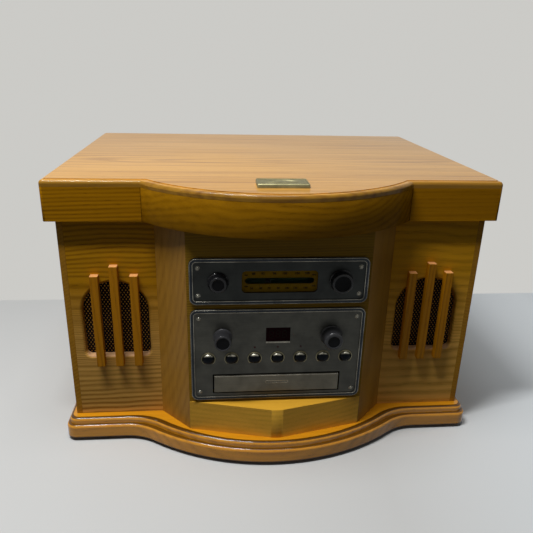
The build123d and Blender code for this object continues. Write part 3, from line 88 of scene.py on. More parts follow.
# Node helpers
class Nodes:
    """A small builder for one node tree."""

    def __init__(self, tree):
        self.tree = tree

    def new(self, kind, **values):
        node = self.tree.nodes.new(kind)
        for key, value in values.items():
            setattr(node, key, value)
        return node

    def find(self, kind):
        return next(node for node in self.tree.nodes if node.type == kind)

    def link(self, source, target):
        self.tree.links.new(source, target)

    def feed(self, socket, value):
        if isinstance(value, bpy.types.NodeSocket):
            self.link(value, socket)
        elif value is not None:
            socket.default_value = value

    def math(self, operation, first, second=None, third=None, clamp=False):
        node = self.new("ShaderNodeMath", operation=operation, use_clamp=clamp)
        for socket, value in zip(node.inputs, (first, second, third)):
            self.feed(socket, value)
        return node.outputs[0]

    def vector(self, operation, first, second=None, scale=None):
        node = self.new("ShaderNodeVectorMath", operation=operation)
        self.feed(node.inputs[0], first)
        self.feed(node.inputs[1], second)
        if scale is not None:
            node.inputs["Scale"].default_value = scale
        return node.outputs["Vector"]

    def split(self, vector):
        """A vector's three parts."""
        node = self.new("ShaderNodeSeparateXYZ")
        self.link(vector, node.inputs[0])
        return tuple(node.outputs)

    def upward(self):
        """How far the surface looks up: 1 for level, 0 for upright, below 0 from underneath."""
        return self.split(self.new("ShaderNodeTexCoord").outputs["Normal"])[2]

    def place(self, vector, location=(0, 0, 0), rotation=(0, 0, 0), scale=(1, 1, 1)):
        node = self.new("ShaderNodeMapping")
        self.feed(node.inputs["Vector"], vector)
        node.inputs["Location"].default_value = location
        node.inputs["Rotation"].default_value = rotation
        node.inputs["Scale"].default_value = scale
        return node.outputs[0]

    def noise(self, vector, scale, detail=2.0, rough=0.5, color=False):
        node = self.new("ShaderNodeTexNoise")
        self.feed(node.inputs["Vector"], vector)
        node.inputs["Scale"].default_value = scale
        node.inputs["Detail"].default_value = detail
        node.inputs["Roughness"].default_value = rough
        return node.outputs["Color"] if color else node.outputs[0]

    def stretched(self, vector, scale, **values):
        """Noise with its own scale along each axis."""
        return self.noise(self.place(vector, scale=scale), 1.0, **values)

    def ramp(self, value, stops, interpolation="LINEAR"):
        """A grey ramp through (position, brightness) stops."""
        node = self.new("ShaderNodeValToRGB")
        self.feed(node.inputs[0], value)
        node.color_ramp.interpolation = interpolation
        elements = node.color_ramp.elements
        while len(elements) < len(stops):
            elements.new(0.5)
        for element, (position, grey) in zip(elements, stops):
            element.position = position
            element.color = (grey, grey, grey, 1)
        return node.outputs[0]

    def mix(self, factor, first, second):
        node = self.new("ShaderNodeMix", data_type="RGBA")
        self.feed(node.inputs["Factor"], factor)
        for socket, value in ((node.inputs[6], first), (node.inputs[7], second)):
            self.feed(socket, value if isinstance(value, bpy.types.NodeSocket) else (*value, 1))
        return node.outputs[2]

    def rise(self, value, start, length):
        """0 up to start, growing to 1 over length."""
        return self.math("DIVIDE", self.math("SUBTRACT", value, start), length, clamp=True)

    def fall(self, value, end, length):
        """1, sinking to 0 at end over length."""
        return self.math("DIVIDE", self.math("SUBTRACT", end, value), length, clamp=True)

    def band(self, value, low, high, edge):
        """1 between low and high, fading to 0 over edge."""
        return self.math("MINIMUM", self.rise(value, low, edge), self.fall(value, high, edge))

    def bump(self, height, strength, distance):
        node = self.new("ShaderNodeBump")
        node.inputs["Strength"].default_value = strength
        node.inputs["Distance"].default_value = distance
        self.feed(node.inputs["Height"], height)
        return node.outputs[0]


def principled(name, **sockets):
    """A material and its builder, with these sockets of the shader set to plain values."""
    material = bpy.data.materials.new(name)
    material.use_nodes = True
    builder = Nodes(material.node_tree)
    shader = builder.find("BSDF_PRINCIPLED")
    for key, value in sockets.items():
        shader.inputs[key.replace("_", " ")].default_value = value
    coords = builder.new("ShaderNodeTexCoord").outputs["Object"]
    return material, builder, shader, coords


def scaled(color, share):
    return tuple(v * share for v in color)


# Wood: growth rings round a slanted axis, fine fibres, pores and slow changes of tone.
# A scale counts a noise's features in a metre, first along the grain and then across it,
# and a share weighs a pattern against the others.
TURN_TO_X = {"X": (0, 0, 0), "Y": (0, 0, -pi / 2), "Z": (0, pi / 2, 0)}
DRIFT_ACROSS = (9, 9)
WOBBLE = (12, 70, 70)
PATCHES = (3, 17, 17)
FIBRES = (14, 1100, 1100)
STREAKS = (3.5, 150, 150)
PORES = (90, 2300, 2300)
TONES = (2.2, 7, 7)
SMUDGES = (6, 6, 6)
NOISE_MIDDLE = 0.5
DRIFT_SHARE = 2
WOBBLE_SHARE = 0.35
FIBRE_SHARE = 0.4
TONE_SHARE = 0.8
DARK_SHARE = 0.12
PORE_SHARE = 0.45
SEAM_SHARE = 0.75
EDGE_LOW_SHARE = 0.45
SEAM_HALF = 0.5
SEAM_FADE = 0.3
LINE_FADE = 0.4


def ring_count(b, radius, spans):
    """Rings passed at this radius; spans lists where each ring width starts, in millimetres."""
    total = None
    last_rate = 0.0
    for start, pitch in spans:
        rate = 1 / (pitch * MM)
        beyond = b.math("MAXIMUM", b.math("SUBTRACT", radius, start * MM), 0.0)
        part = b.math("MULTIPLY", beyond, rate - last_rate)
        total = part if total is None else b.math("ADD", total, part)
        last_rate = rate
    return total


def ring_pattern(b, along, seeded, heart, spans, slant, warp, wave):
    """1 in a ring's dark late wood and 0 in its early wood, fainter in patches."""
    drift = b.stretched(seeded, (wave, *DRIFT_ACROSS), detail=3, rough=0.45, color=True)
    wobble = b.stretched(seeded, WOBBLE, detail=2, color=True)
    moved = along
    for shift, share in ((drift, DRIFT_SHARE), (wobble, WOBBLE_SHARE)):
        centred = b.vector("SUBTRACT", shift, (NOISE_MIDDLE,) * 3)
        moved = b.vector("ADD", moved, b.vector("SCALE", centred, scale=share * warp * MM))
    from_heart = b.vector("SUBTRACT", moved, (0, heart[0] * MM, heart[1] * MM))
    parts = b.split(b.place(from_heart, rotation=(0, radians(slant[0]), radians(slant[1]))))
    squares = [b.math("POWER", part, 2.0) for part in parts[1:]]
    radius = b.math("SQRT", b.math("ADD", *squares))
    swing = b.math("SINE", b.math("MULTIPLY", ring_count(b, radius, spans), 2 * pi))
    swing = b.math("MULTIPLY_ADD", swing, 0.5, 0.5)
    ring = b.ramp(swing, [(0, 0), (0.4, 0.2), (0.75, 0.62), (1, 1)], "EASE")
    patch = b.stretched(seeded, PATCHES, detail=2)
    return b.math("MULTIPLY", ring, b.ramp(patch, [(0.3, 0.35), (0.65, 1)]))


def wood(name, grain, light, dark, heart, spans, slant, warp, contrast, seed, streaks=0.9, wave=2.2,
         rough=0.34, coat=0.04, coat_rough=0.1, gloss=0.03, fade=None, edge=None, wear_and_top_light=None, seam=None,
         painted_low_light=None, crease_shade=()):
    """Varnished oak.

    heart is the ring centre, as two distances across the grain, slant the tilt of the rings' axis and
    warp how far they wander. fade gives where along x their contrast starts and ends to sink, and what
    is left. edge gives upright faces' light and dark tones and the height under which they are darker,
    wear_and_top_light a tone and its share on faces that look up, painted there as light and shade for
    how light falls on tops, seam a joint's distance from the middle, painted_low_light a paler tone of
    painted light, its share and the heights between which it fades out, leaving the part above darker
    as painted shade, and crease_shade each painted dark line of shade's low end, high end and depth.
    """
    material, b, shader, coords = principled(name, Roughness=rough, Coat_Weight=coat, Coat_IOR=1.5,
                                             Coat_Roughness=coat_rough, Specular_IOR_Level=gloss)
    along = b.place(coords, rotation=TURN_TO_X[grain])
    seeded = b.place(along, location=(seed, seed * 1.7, seed * 2.3))
    x, _, z = b.split(coords)
    ring = ring_pattern(b, along, seeded, heart, spans, slant, warp, wave)
    fibre = b.stretched(seeded, FIBRES, detail=3, rough=0.6)
    streak = b.stretched(seeded, STREAKS, detail=3, rough=0.55)
    tone = b.stretched(seeded, TONES, detail=2)
    pore = b.ramp(b.stretched(seeded, PORES, detail=1), [(0.6, 0), (0.7, 1)])
    pore = b.math("MULTIPLY", pore, b.math("ADD", ring, 0.25))
    strength = contrast
    if fade:
        start, end, least = fade
        share = b.rise(x, start * MM, (end - start) * MM)
        strength = b.math("MULTIPLY_ADD", share, contrast * (least - 1), contrast)
    amount = b.math("MULTIPLY", ring, strength)
    for source, weight in ((streak, streaks), (fibre, FIBRE_SHARE), (tone, TONE_SHARE)):
        amount = b.math("ADD", amount, b.math("MULTIPLY", b.math("SUBTRACT", source, NOISE_MIDDLE), weight))
    amount = b.math("ADD", amount, DARK_SHARE, clamp=True)
    # Painted light: the lower part is painted a paler tone, and the part above is left darker as painted
    # shade under the lid.
    if painted_low_light:
        lit_tone, most, low, high = painted_low_light
        light = b.mix(b.math("MULTIPLY", b.fall(z, high * MM, (high - low) * MM), most), light, lit_tone)
    color = b.mix(amount, light, dark)
    if edge:
        edge_light, edge_dark, step = edge
        level = b.ramp(b.math("ABSOLUTE", b.upward()), [(0.75, 0), (0.97, 1)])
        low_tone = b.mix(amount, scaled(edge_light, EDGE_LOW_SHARE), scaled(edge_dark, EDGE_LOW_SHARE))
        above = b.rise(z, step * MM, LINE_FADE * MM)
        color = b.mix(level, b.mix(above, low_tone, b.mix(amount, edge_light, edge_dark)), color)
    color = b.mix(b.math("MULTIPLY", pore, PORE_SHARE), color, scaled(dark, 0.3))
    # Painted light and shade: a tone painted on faces that look up, for how light falls on tops.
    if wear_and_top_light:
        pale, most = wear_and_top_light
        lifted = b.ramp(b.upward(), [(0.3, 0), (0.8, 1)])
        color = b.mix(b.math("MULTIPLY", lifted, most), color, pale)
    if seam:
        from_middle = b.math("ABSOLUTE", x)
        joint = b.band(from_middle, (seam - SEAM_HALF) * MM, (seam + SEAM_HALF) * MM, SEAM_FADE * MM)
        color = b.mix(b.math("MULTIPLY", joint, SEAM_SHARE), color, scaled(dark, 0.2))
    # Painted shade: dark lines in creases and along edges, where shade falls.
    for low, high, depth in crease_shade:
        line = b.band(z, low * MM, high * MM, LINE_FADE * MM)
        color = b.mix(b.math("MULTIPLY", line, depth), color, scaled(dark, 0.12))
    b.link(color, shader.inputs["Base Color"])
    relief = b.math("SUBTRACT", b.math("MULTIPLY", fibre, 0.4), pore)
    b.link(b.bump(relief, 0.18, 0.15 * MM), shader.inputs["Normal"])
    smudge = b.stretched(seeded, SMUDGES, detail=4)
    b.link(b.math("ADD", b.math("MULTIPLY", smudge, 0.16), rough - 0.08), shader.inputs["Roughness"])
    return material


# Metal and plastic, with noise scales in features to a metre
METAL_CLOUDS = 55
METAL_SPECKS = 900
METAL_LINES = 1400
BRUSH_STRETCH = 0.02
PLASTIC_CLOUDS = 30
PLASTIC_GRAIN = 900


def metal(name, color, rough, brushed=None, wear_and_top_light=None, blotch=0.25, metallic=1.0, coat=0.0, strength=0.12,
          specular=0.5):
    """Metal with cloudy wear, and fine lines along an axis where it is brushed."""
    material, b, shader, coords = principled(name, Metallic=metallic, Coat_Weight=coat,
                                             Specular_IOR_Level=specular)
    cloud = b.noise(coords, METAL_CLOUDS, detail=5, rough=0.6)
    speck = b.noise(coords, METAL_SPECKS, detail=2)
    stretch = [BRUSH_STRETCH if axis == brushed else 1 for axis in "XYZ"]
    lines = b.noise(b.place(coords, scale=stretch), METAL_LINES, detail=3, rough=0.7)
    shade = b.math("ADD", b.math("MULTIPLY", cloud, 0.7), b.math("MULTIPLY", lines, 0.3))
    wear = b.math("MULTIPLY", b.ramp(shade, [(0.35, 0), (0.68, 1)]), 4 * blotch, clamp=True)
    b.link(b.mix(wear, color, wear_and_top_light or scaled(color, 0.45)), shader.inputs["Base Color"])
    roughness = b.math("ADD", b.math("MULTIPLY", cloud, 0.3), rough - 0.15)
    roughness = b.math("ADD", roughness, b.math("MULTIPLY", lines, 0.12), clamp=True)
    b.link(roughness, shader.inputs["Roughness"])
    height = b.math("ADD", lines, b.math("MULTIPLY", speck, 0.5))
    b.link(b.bump(height, strength, 0.06 * MM), shader.inputs["Normal"])
    return material


def pewter(name, color, wear_and_top_light):
    return metal(name, color, 0.34, brushed="X", wear_and_top_light=wear_and_top_light, blotch=0.2, metallic=0.85)


def plastic(name, color, rough, bumps=0.0, bump_scale=PLASTIC_GRAIN, coat=0.0, specular=0.5):
    """Moulded plastic, rubber or paint with a fine texture and slight unevenness."""
    material, b, shader, coords = principled(name, Coat_Weight=coat, Specular_IOR_Level=specular)
    cloud = b.noise(coords, PLASTIC_CLOUDS, detail=4, rough=0.55)
    bright = tuple(v * 1.12 + 0.004 for v in color)
    uneven = b.mix(b.ramp(cloud, [(0.3, 0), (0.7, 1)]), scaled(color, 0.7), bright)
    b.link(uneven, shader.inputs["Base Color"])
    roughness = b.math("ADD", b.math("MULTIPLY", cloud, 0.18), rough - 0.09, clamp=True)
    b.link(roughness, shader.inputs["Roughness"])
    if bumps:
        grain = b.noise(coords, bump_scale, detail=2)
        b.link(b.bump(grain, bumps, 0.12 * MM), shader.inputs["Normal"])
    return material


def dial_card_material():
    """Amber card, browner towards its ends."""
    material, b, shader, coords = principled("dial_card", Roughness=0.5, Specular_IOR_Level=0.05)
    cloud = b.noise(coords, 60, detail=4)
    ends = b.math("DIVIDE", b.math("ABSOLUTE", b.split(coords)[0]), 60 * MM, clamp=True)
    color = b.mix(b.math("MULTIPLY", cloud, 0.7), (0.66, 0.37, 0.004), (0.46, 0.24, 0.002))
    color = b.mix(b.math("MULTIPLY", ends, 0.5), color, (0.42, 0.20, 0.002))
    b.link(color, shader.inputs["Base Color"])
    return material


def clear_pane_material():
    material, b, shader, coords = principled("clear_pane", Roughness=0.06, Alpha=0.12,
                                             Specular_IOR_Level=0.1)
    haze = b.noise(coords, 120, detail=3)
    b.link(b.mix(haze, (0.035, 0.02, 0.006), (0.02, 0.012, 0.004)), shader.inputs["Base Color"])
    return material


def display_material():
    material, b, shader, coords = principled("display_red", Roughness=0.2, Specular_IOR_Level=0.02)
    cloud = b.noise(coords, 300, detail=3)
    b.link(b.mix(cloud, (0.030, 0.001, 0.005), (0.008, 0.0005, 0.002)), shader.inputs["Base Color"])
    return material


def button_material():
    """Bright metal painted round the upper edge of each button as a painted highlight, dark enamel in its
    middle.
    """
    material, b, shader, coords = principled("button_painted_highlight", Metallic=1.0)
    wobble = b.math("MULTIPLY", b.math("SUBTRACT", b.noise(coords, 260, detail=2), NOISE_MIDDLE), 0.2)
    # Painted highlight: faces that look up get bright metal, where the light's reflection falls.
    highlight_share = b.ramp(b.math("ADD", b.upward(), wobble), [(0.42, 0), (0.62, 1)])
    b.link(b.mix(highlight_share, (0.006, 0.007, 0.009), (0.36, 0.345, 0.285)), shader.inputs["Base Color"])
    roughness = b.math("MULTIPLY_ADD", b.noise(coords, 200, detail=3), 0.15, 0.28)
    b.link(roughness, shader.inputs["Roughness"])
    return material


# Materials, with linear colours
RAIL_SEAM = 148.0
LID_STEP = 321.6
# A pale pink painted reflection on the baffles' sills and other tops.
SILL_PAINTED_REFLECTION = (0.62, 0.36, 0.20)
# A paler tone painted low on the baffles as painted light.
PAINTED_LOW_LIGHT = (0.85, 0.50, 0.14)
wood_top = wood("oak_top", "X", (0.60, 0.31, 0.062), (0.34, 0.15, 0.022), (-40, 262), ((0, 5.2),),
                slant=(2.6, 2.0), warp=9, contrast=0.5, seed=3.1, streaks=2.6, rough=0.32, coat=0.3,
                coat_rough=0.07, gloss=0.15, edge=((0.80, 0.38, 0.02), (0.50, 0.21, 0.008), LID_STEP))
wood_rail = wood("oak_rail", "X", (0.46, 0.20, 0.003), (0.20, 0.08, 0.001), (-90, -400), ((0, 4.4),),
                 slant=(1.0, 0.6), warp=6, contrast=0.55, seed=8.4, streaks=1.0, gloss=0.0,
                 fade=(-120, 120, 0.3), seam=RAIL_SEAM)
wood_bow = wood("oak_bow", "X", (0.38, 0.17, 0.004), (0.15, 0.060, 0.001), (-188, 345), ((0, 6.5),),
                slant=(3, 14), warp=14, contrast=0.32, seed=5.2, wave=7.0, gloss=0.0, seam=RAIL_SEAM)
wood_side_rail = wood("oak_side_rail", "Y", (0.46, 0.20, 0.008), (0.20, 0.08, 0.004), (-90, -400),
                      ((0, 3.4),), slant=(1.0, 0.6), warp=5, contrast=0.5, seed=1.9)
# The left baffle is painted paler low down and darker above as painted light and shade under the lid, with
# a painted pink reflection on faces that look up.
wood_left = wood("oak_left_baffle", "X", (0.54, 0.25, 0.006), (0.20, 0.080, 0.002), (-112, -600),
                 ((0, 6.4), (702, 2.3), (772, 14.0), (812, 5.6)), slant=(1.0, 0.0), warp=8,
                 contrast=0.62, seed=6.6, streaks=0.8, wave=8.0, gloss=0.02, wear_and_top_light=(SILL_PAINTED_REFLECTION, 0.8),
                 painted_low_light=(PAINTED_LOW_LIGHT, 0.7, 120, 200))
# The right baffle is painted paler than the left, painted light for the lamps on the left that reach it
# less, with the same painted low light and pink reflection.
wood_right = wood("oak_right_baffle", "X", (0.72, 0.35, 0.012), (0.31, 0.13, 0.004), (-112, -420),
                  ((0, 12.0), (540, 4.6), (580, 10.0)), slant=(-1.4, 0.0), warp=14, contrast=0.4,
                  seed=12.3, streaks=0.8, wave=8.0, gloss=0.02, wear_and_top_light=(SILL_PAINTED_REFLECTION, 0.8),
                  painted_low_light=(PAINTED_LOW_LIGHT, 0.65, 110, 215))
wood_corner = wood("oak_corner", "Z", (0.44, 0.22, 0.03), (0.23, 0.10, 0.011), (60, 30), ((0, 6.5),),
                   slant=(14, 9), warp=12, contrast=0.26, seed=2.7, streaks=0.7, rough=0.36, coat=0.25,
                   coat_rough=0.25)
wood_centre = wood("oak_centre", "X", (0.38, 0.21, 0.018), (0.18, 0.09, 0.008), (-150, -300),
                   ((0, 3.0),), slant=(1, 1), warp=3, contrast=0.6, seed=4.4)
# The apron's tone on faces that look up is painted light, set for how light falls on its top.
wood_apron = wood("oak_apron", "X", (0.84, 0.46, 0.05), (0.52, 0.25, 0.02), (-215, 120), ((0, 6.0),),
                  slant=(2, 4), warp=6, contrast=0.35, seed=9.3, streaks=0.8, coat=0.12,
                  wear_and_top_light=((0.72, 0.37, 0.03), 0.6))
wood_side = wood("oak_side", "Y", (0.46, 0.22, 0.020), (0.22, 0.09, 0.006), (-130, -500), ((0, 4.0),),
                 slant=(1, 1), warp=5, contrast=0.3, seed=7.7)
# The slats' up-facing ends are painted pale pink as a painted highlight.
wood_slat = wood("oak_slat", "Z", (0.52, 0.21, 0.004), (0.29, 0.11, 0.002), (185, 40), ((0, 2.6),),
                 slant=(1, 1), warp=3, contrast=0.5, seed=1.2, coat=0.15, coat_rough=0.2, gloss=0.0,
                 wear_and_top_light=((0.78, 0.38, 0.15), 0.75))
# The plinth's dark lines are painted shade in its grooves and along its bottom edge, and its tops are
# painted darker than its fronts as painted shade against the light falling on them.
wood_plinth = wood("oak_plinth", "X", (0.95, 0.40, 0.016), (0.60, 0.22, 0.007), (-20, -60), ((0, 7.0),),
                   slant=(1, 2), warp=6, contrast=0.35, seed=3.9, streaks=1.1, rough=0.22, coat=0.9,
                   coat_rough=0.05, wear_and_top_light=((0.60, 0.25, 0.008), 0.75),
                   crease_shade=((28.1, 29.6, 0.95), (20.7, 21.9, 0.9), (4.0, 6.4, 0.8)))
fibre_board = plastic("rear_fibre_board", (0.05, 0.036, 0.028), 0.75, bumps=0.5, bump_scale=1400)
black_plastic = plastic("black_plastic", (0.022, 0.022, 0.024), 0.42, bumps=0.12)
deck_plastic = plastic("deck_plastic", (0.03, 0.029, 0.028), 0.5, bumps=0.35, bump_scale=1700)
gloss_black = plastic("gloss_black", (0.006, 0.006, 0.007), 0.16, specular=0.06)
rubber = plastic("rubber", (0.02, 0.02, 0.021), 0.78, bumps=0.3)
mat_rubber = plastic("mat_rubber", (0.025, 0.025, 0.026), 0.7, bumps=0.25)
cone_paper = plastic("cone_paper", (0.03, 0.028, 0.026), 0.85, bumps=0.4)
board_green = plastic("board_green", (0.02, 0.11, 0.04), 0.4, bumps=0.15)
mesh_black = plastic("mesh_black", (0.006, 0.006, 0.007), 0.6, specular=0.03)
lamp_red = plastic("lamp_red", (0.05, 0.006, 0.006), 0.3, coat=0.1, specular=0.1)
ink = plastic("ink", (0.010, 0.006, 0.003), 0.6, specular=0.05)
pewter_radio = pewter("pewter_radio", (0.026, 0.028, 0.026), (0.012, 0.013, 0.013))
pewter_disc = pewter("pewter_disc", (0.062, 0.061, 0.052), (0.030, 0.030, 0.027))
pewter_drawer = pewter("pewter_drawer", (0.12, 0.11, 0.085), (0.06, 0.056, 0.045))
border_black = metal("border_black", (0.012, 0.016, 0.022), 0.2, blotch=0.1, coat=0.3, strength=0.03)
bead_bright = metal("bead_bright", (0.34, 0.32, 0.27), 0.22, wear_and_top_light=(0.1, 0.095, 0.08), blotch=0.3)
knob_metal = metal("knob_metal", (0.042, 0.042, 0.045), 0.24, wear_and_top_light=(0.02, 0.02, 0.022), blotch=0.3,
                   metallic=0.1, coat=0.2, strength=0.04, specular=0.2)
knob_black = metal("knob_black", (0.014, 0.014, 0.016), 0.2, wear_and_top_light=(0.008, 0.008, 0.009), blotch=0.3,
                   metallic=0.1, coat=0.3, strength=0.04, specular=0.15)
bezel_brass = metal("bezel_brass", (0.33, 0.30, 0.20), 0.3, wear_and_top_light=(0.1, 0.09, 0.055))
badge_metal = metal("badge_metal", (0.38, 0.35, 0.19), 0.42, wear_and_top_light=(0.15, 0.135, 0.07))
badge_dark = metal("badge_dark", (0.12, 0.11, 0.06), 0.4, blotch=0.3)
hinge_metal = metal("hinge_metal", (0.62, 0.45, 0.19), 0.3, brushed="X", blotch=0.1)
screw_metal = metal("screw_metal", (0.22, 0.21, 0.175), 0.18, wear_and_top_light=(0.08, 0.075, 0.06), coat=0.3)
steel = metal("steel", (0.66, 0.66, 0.66), 0.24, blotch=0.05, strength=0.03)
platter_metal = metal("platter_metal", (0.6, 0.6, 0.61), 0.3, brushed="Z", blotch=0.05)
iron = metal("iron", (0.1, 0.1, 0.105), 0.5, blotch=0.2)
bronze_cloth = metal("bronze_cloth", (0.42, 0.20, 0.028), 0.5, wear_and_top_light=(0.30, 0.13, 0.016), blotch=0.2,
                     metallic=0.9)
dial_card = dial_card_material()
clear_pane = clear_pane_material()
display_red = display_material()
button_painted_highlight = button_material()


# CAD nodes that keep their shape
def dress(material, *names):
    for name in names:
        data = nodes[name].data
        data.materials.clear()
        data.materials.append(material)


def soften(width, *names):
    """A small rounding of the sharp edges of these nodes."""
    for name in names:
        node = nodes[name]
        weld = node.modifiers.new("weld", "WELD")
        weld.merge_threshold = 0.01 * MM
        bevel = node.modifiers.new("bevel", "BEVEL")
        bevel.width = width * MM
        bevel.segments = 2
        bevel.limit_method = "ANGLE"
        bevel.angle_limit = radians(40)


dress(wood_top, "lid_top_board")
dress(wood_bow, "lid_bow_rail")
dress(wood_rail, "lid_front_rails", "lid_rear_rail")
dress(wood_side_rail, "lid_side_rails")
dress(wood_left, "left_front_baffle")
dress(wood_right, "right_front_baffle")
dress(wood_corner, "corner_panels")
dress(wood_centre, "centre_front_board")
dress(wood_apron, "front_apron")
dress(wood_side, "left_side_panel", "right_side_panel")
dress(wood_slat, "grille_slats")
dress(wood_plinth, "base_plinth")
dress(fibre_board, "rear_panel")
dress(deck_plastic, "deck_board")
dress(black_plastic, "disc_drive_chassis", "disc_tray", "turntable_motor", "rear_connectors")
dress(rubber, "rubber_feet", "drive_belt")
dress(cone_paper, "speaker_drivers")
dress(pewter_radio, "radio_faceplate")
dress(pewter_disc, "disc_faceplate")
dress(pewter_drawer, "drawer_front")
dress(dial_card, "dial_scale")
dress(gloss_black, "dial_pointer", "tonearm_yoke", "cartridge_shell", "cue_lever", "speed_lever")
dress(lamp_red, "indicator_lamps")
dress(board_green, "control_boards", "amplifier_board")
dress(iron, "mains_transformer")
dress(platter_metal, "platter")
dress(mat_rubber, "platter_mat")
dress(steel, "spindle", "motor_pulley", "tonearm_tube")
dress(hinge_metal, "cabinet_hinge_set", "lid_hinge_set", "stay_arm")
soften(0.5, "lid_front_rails", "lid_rear_rail", "lid_side_rails", "lid_bow_rail")
soften(0.6, "grille_slats", "front_apron", "corner_panels", "centre_front_board")
soften(0.5, "left_side_panel", "right_side_panel", "rear_panel")


# Mesh helpers for the detailed pieces; TIP is the least radius of a turned profile
RIGHT = (1, 0, 0)
FRONT = (0, -1, 0)
BACK = (0, 1, 0)
UP = (0, 0, 1)
TIP = 0.02
SQUARE = ((-1, -1), (1, -1), (1, 1), (-1, 1))


def full_turn(steps):
    """Angles all the way round, the last one short of the first."""
    return [2 * pi * k / steps for k in range(steps)]


def quarter_turn(steps):
    """Angles from one step above zero up to a right angle."""
    return [pi / 2 * k / steps for k in range(1, steps + 1)]


class Shape:
    """Gathers points and faces of one piece."""

    def __init__(self):
        self.verts = []
        self.faces = []

    def add(self, verts, faces):
        start = len(self.verts)
        self.verts.extend(verts)
        self.faces.extend([tuple(start + i for i in face) for face in faces])

    def rings(self, rings, closed=False):
        """A skin over rings of the same length; closed joins the last to the first."""
        count = len(rings[0])
        verts = [p for ring in rings for p in ring]
        faces = []
        steps = len(rings) if closed else len(rings) - 1
        for k in range(steps):
            near = k * count
            far = ((k + 1) % len(rings)) * count
            for i in range(count):
                j = (i + 1) % count
                faces.append((near + i, near + j, far + j, far + i))
        if not closed:
            faces.append(tuple(range(count - 1, -1, -1)))
            faces.append(tuple(range((len(rings) - 1) * count, len(rings) * count)))
        self.add(verts, faces)

    def lathe(self, profile, centre, out, side, segments, ribs=None):
        """Turns (radius, height) points round out, with ribs cut in.

        ribs gives the profile's grooved points, the depth and the segments to a rib.
        """
        out = Vector(out)
        side = Vector(side)
        other = out.cross(side)
        rings = []
        for step, (radius, height) in enumerate(profile):
            ring = []
            for k, angle in enumerate(full_turn(segments)):
                r = radius
                if ribs and step in ribs[0] and k % ribs[2] >= ribs[2] // 2:
                    r -= ribs[1]
                p = Vector(centre) + out * height + (side * cos(angle) + other * sin(angle)) * r
                ring.append(tuple(p))
            rings.append(ring)
        self.rings(rings)

    def tube(self, path, radius, sides=8, closed=True, flat=1.0):
        """A tube along points in the XZ plane, flattened in Y by flat."""
        back = Vector(BACK)
        rings = []
        count = len(path)
        for k, point in enumerate(path):
            before = Vector(path[(k - 1) % count if closed else max(k - 1, 0)])
            after = Vector(path[(k + 1) % count if closed else min(k + 1, count - 1)])
            along = (after - before).normalized()
            across = back.cross(along).normalized()
            ring = []
            for angle in full_turn(sides):
                offset = across * cos(angle) * radius + back * sin(angle) * radius * flat
                ring.append(tuple(Vector(point) + offset))
            rings.append(ring)
        self.rings(rings, closed=closed)


def piece(name, shape, material, body, stands_for=(), smooth=True):
    """A mesh from a shape in millimetres that rides on a body."""
    data = bpy.data.meshes.new(name)
    data.from_pydata([tuple(c * MM for c in v) for v in shape.verts], [], shape.faces)
    data.update()
    obj = bpy.data.objects.new(name, data)
    scene.collection.objects.link(obj)
    data.materials.append(material)
    if smooth:
        for polygon in data.polygons:
            polygon.use_smooth = True
        data.set_sharp_from_angle(angle=radians(38))
    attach(obj, body)
    if stands_for:
        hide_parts(*stands_for)
    return obj


def front_middle(low, high):
    """The middle of a box seen from the front, as x and z."""
    return (low.x + high.x) / 2, (low.z + high.z) / 2


def rounded_rectangle(cx, cz, width, height, radius, y, steps=8):
    """Points of a rounded rectangle in the XZ plane at depth y, going round."""
    points = []
    for corner, (sx, sz) in enumerate(((1, 1), (-1, 1), (-1, -1), (1, -1))):
        ox = cx + sx * (width / 2 - radius)
        oz = cz + sz * (height / 2 - radius)
        for k in range(steps + 1):
            angle = pi / 2 * (corner + k / steps)
            points.append((ox + radius * cos(angle), y, oz + radius * sin(angle)))
    return points


# Front plates: a dark border between two bright beads round each panel, each as
# its inset from the plate's edge, its radius and its flatness
BORDER = (2.1, 1.35, 0.45)
OUTER_BEAD = (0.75, 0.36, 0.8)
INNER_BEAD = (3.95, 0.42, 1.0)
PLATE_CORNER = 8.0
TRIM_SINK = 0.12
PANEL_SINK = 0.9
radio_low, radio_high = low_high("radio_faceplate")
disc_low, disc_high = low_high("disc_faceplate")
plate_y = radio_low.y
panel_y = plate_y + PANEL_SINK


def plate_trim(name, material, *tubes):
    shape = Shape()
    for low, high in ((radio_low, radio_high), (disc_low, disc_high)):
        width, height = high.x - low.x, high.z - low.z
        for inset, radius, flat in tubes:
            path = rounded_rectangle(*front_middle(low, high), width - 2 * inset, height - 2 * inset,
                                     PLATE_CORNER - inset, plate_y + TRIM_SINK)
            shape.tube(path, radius, sides=12, flat=flat)
    piece(name, shape, material, "cabinet")


plate_trim("plate_borders", border_black, BORDER)
plate_trim("plate_beads", bead_bright, OUTER_BEAD, INNER_BEAD)

# Drawer front: a bead along its upper edge, its bright metal a painted highlight of the light along that
# edge, and a plain raised bar in its middle
BEAD_INSET = 1.0
BEAD_SINK = 0.15
BEAD_RADIUS = 0.5
BAR_LENGTH = 26.0
BAR_HEIGHT = 3.2
BAR_CORNER = 1.5
BAR_RISE = 1.5
BAR_SINK = 0.05
BAR_RADIUS = 0.32
STROKES = 9
STROKE_STEP = 2.4
STROKE_HALF = 0.9
STROKE_RADIUS = 0.28


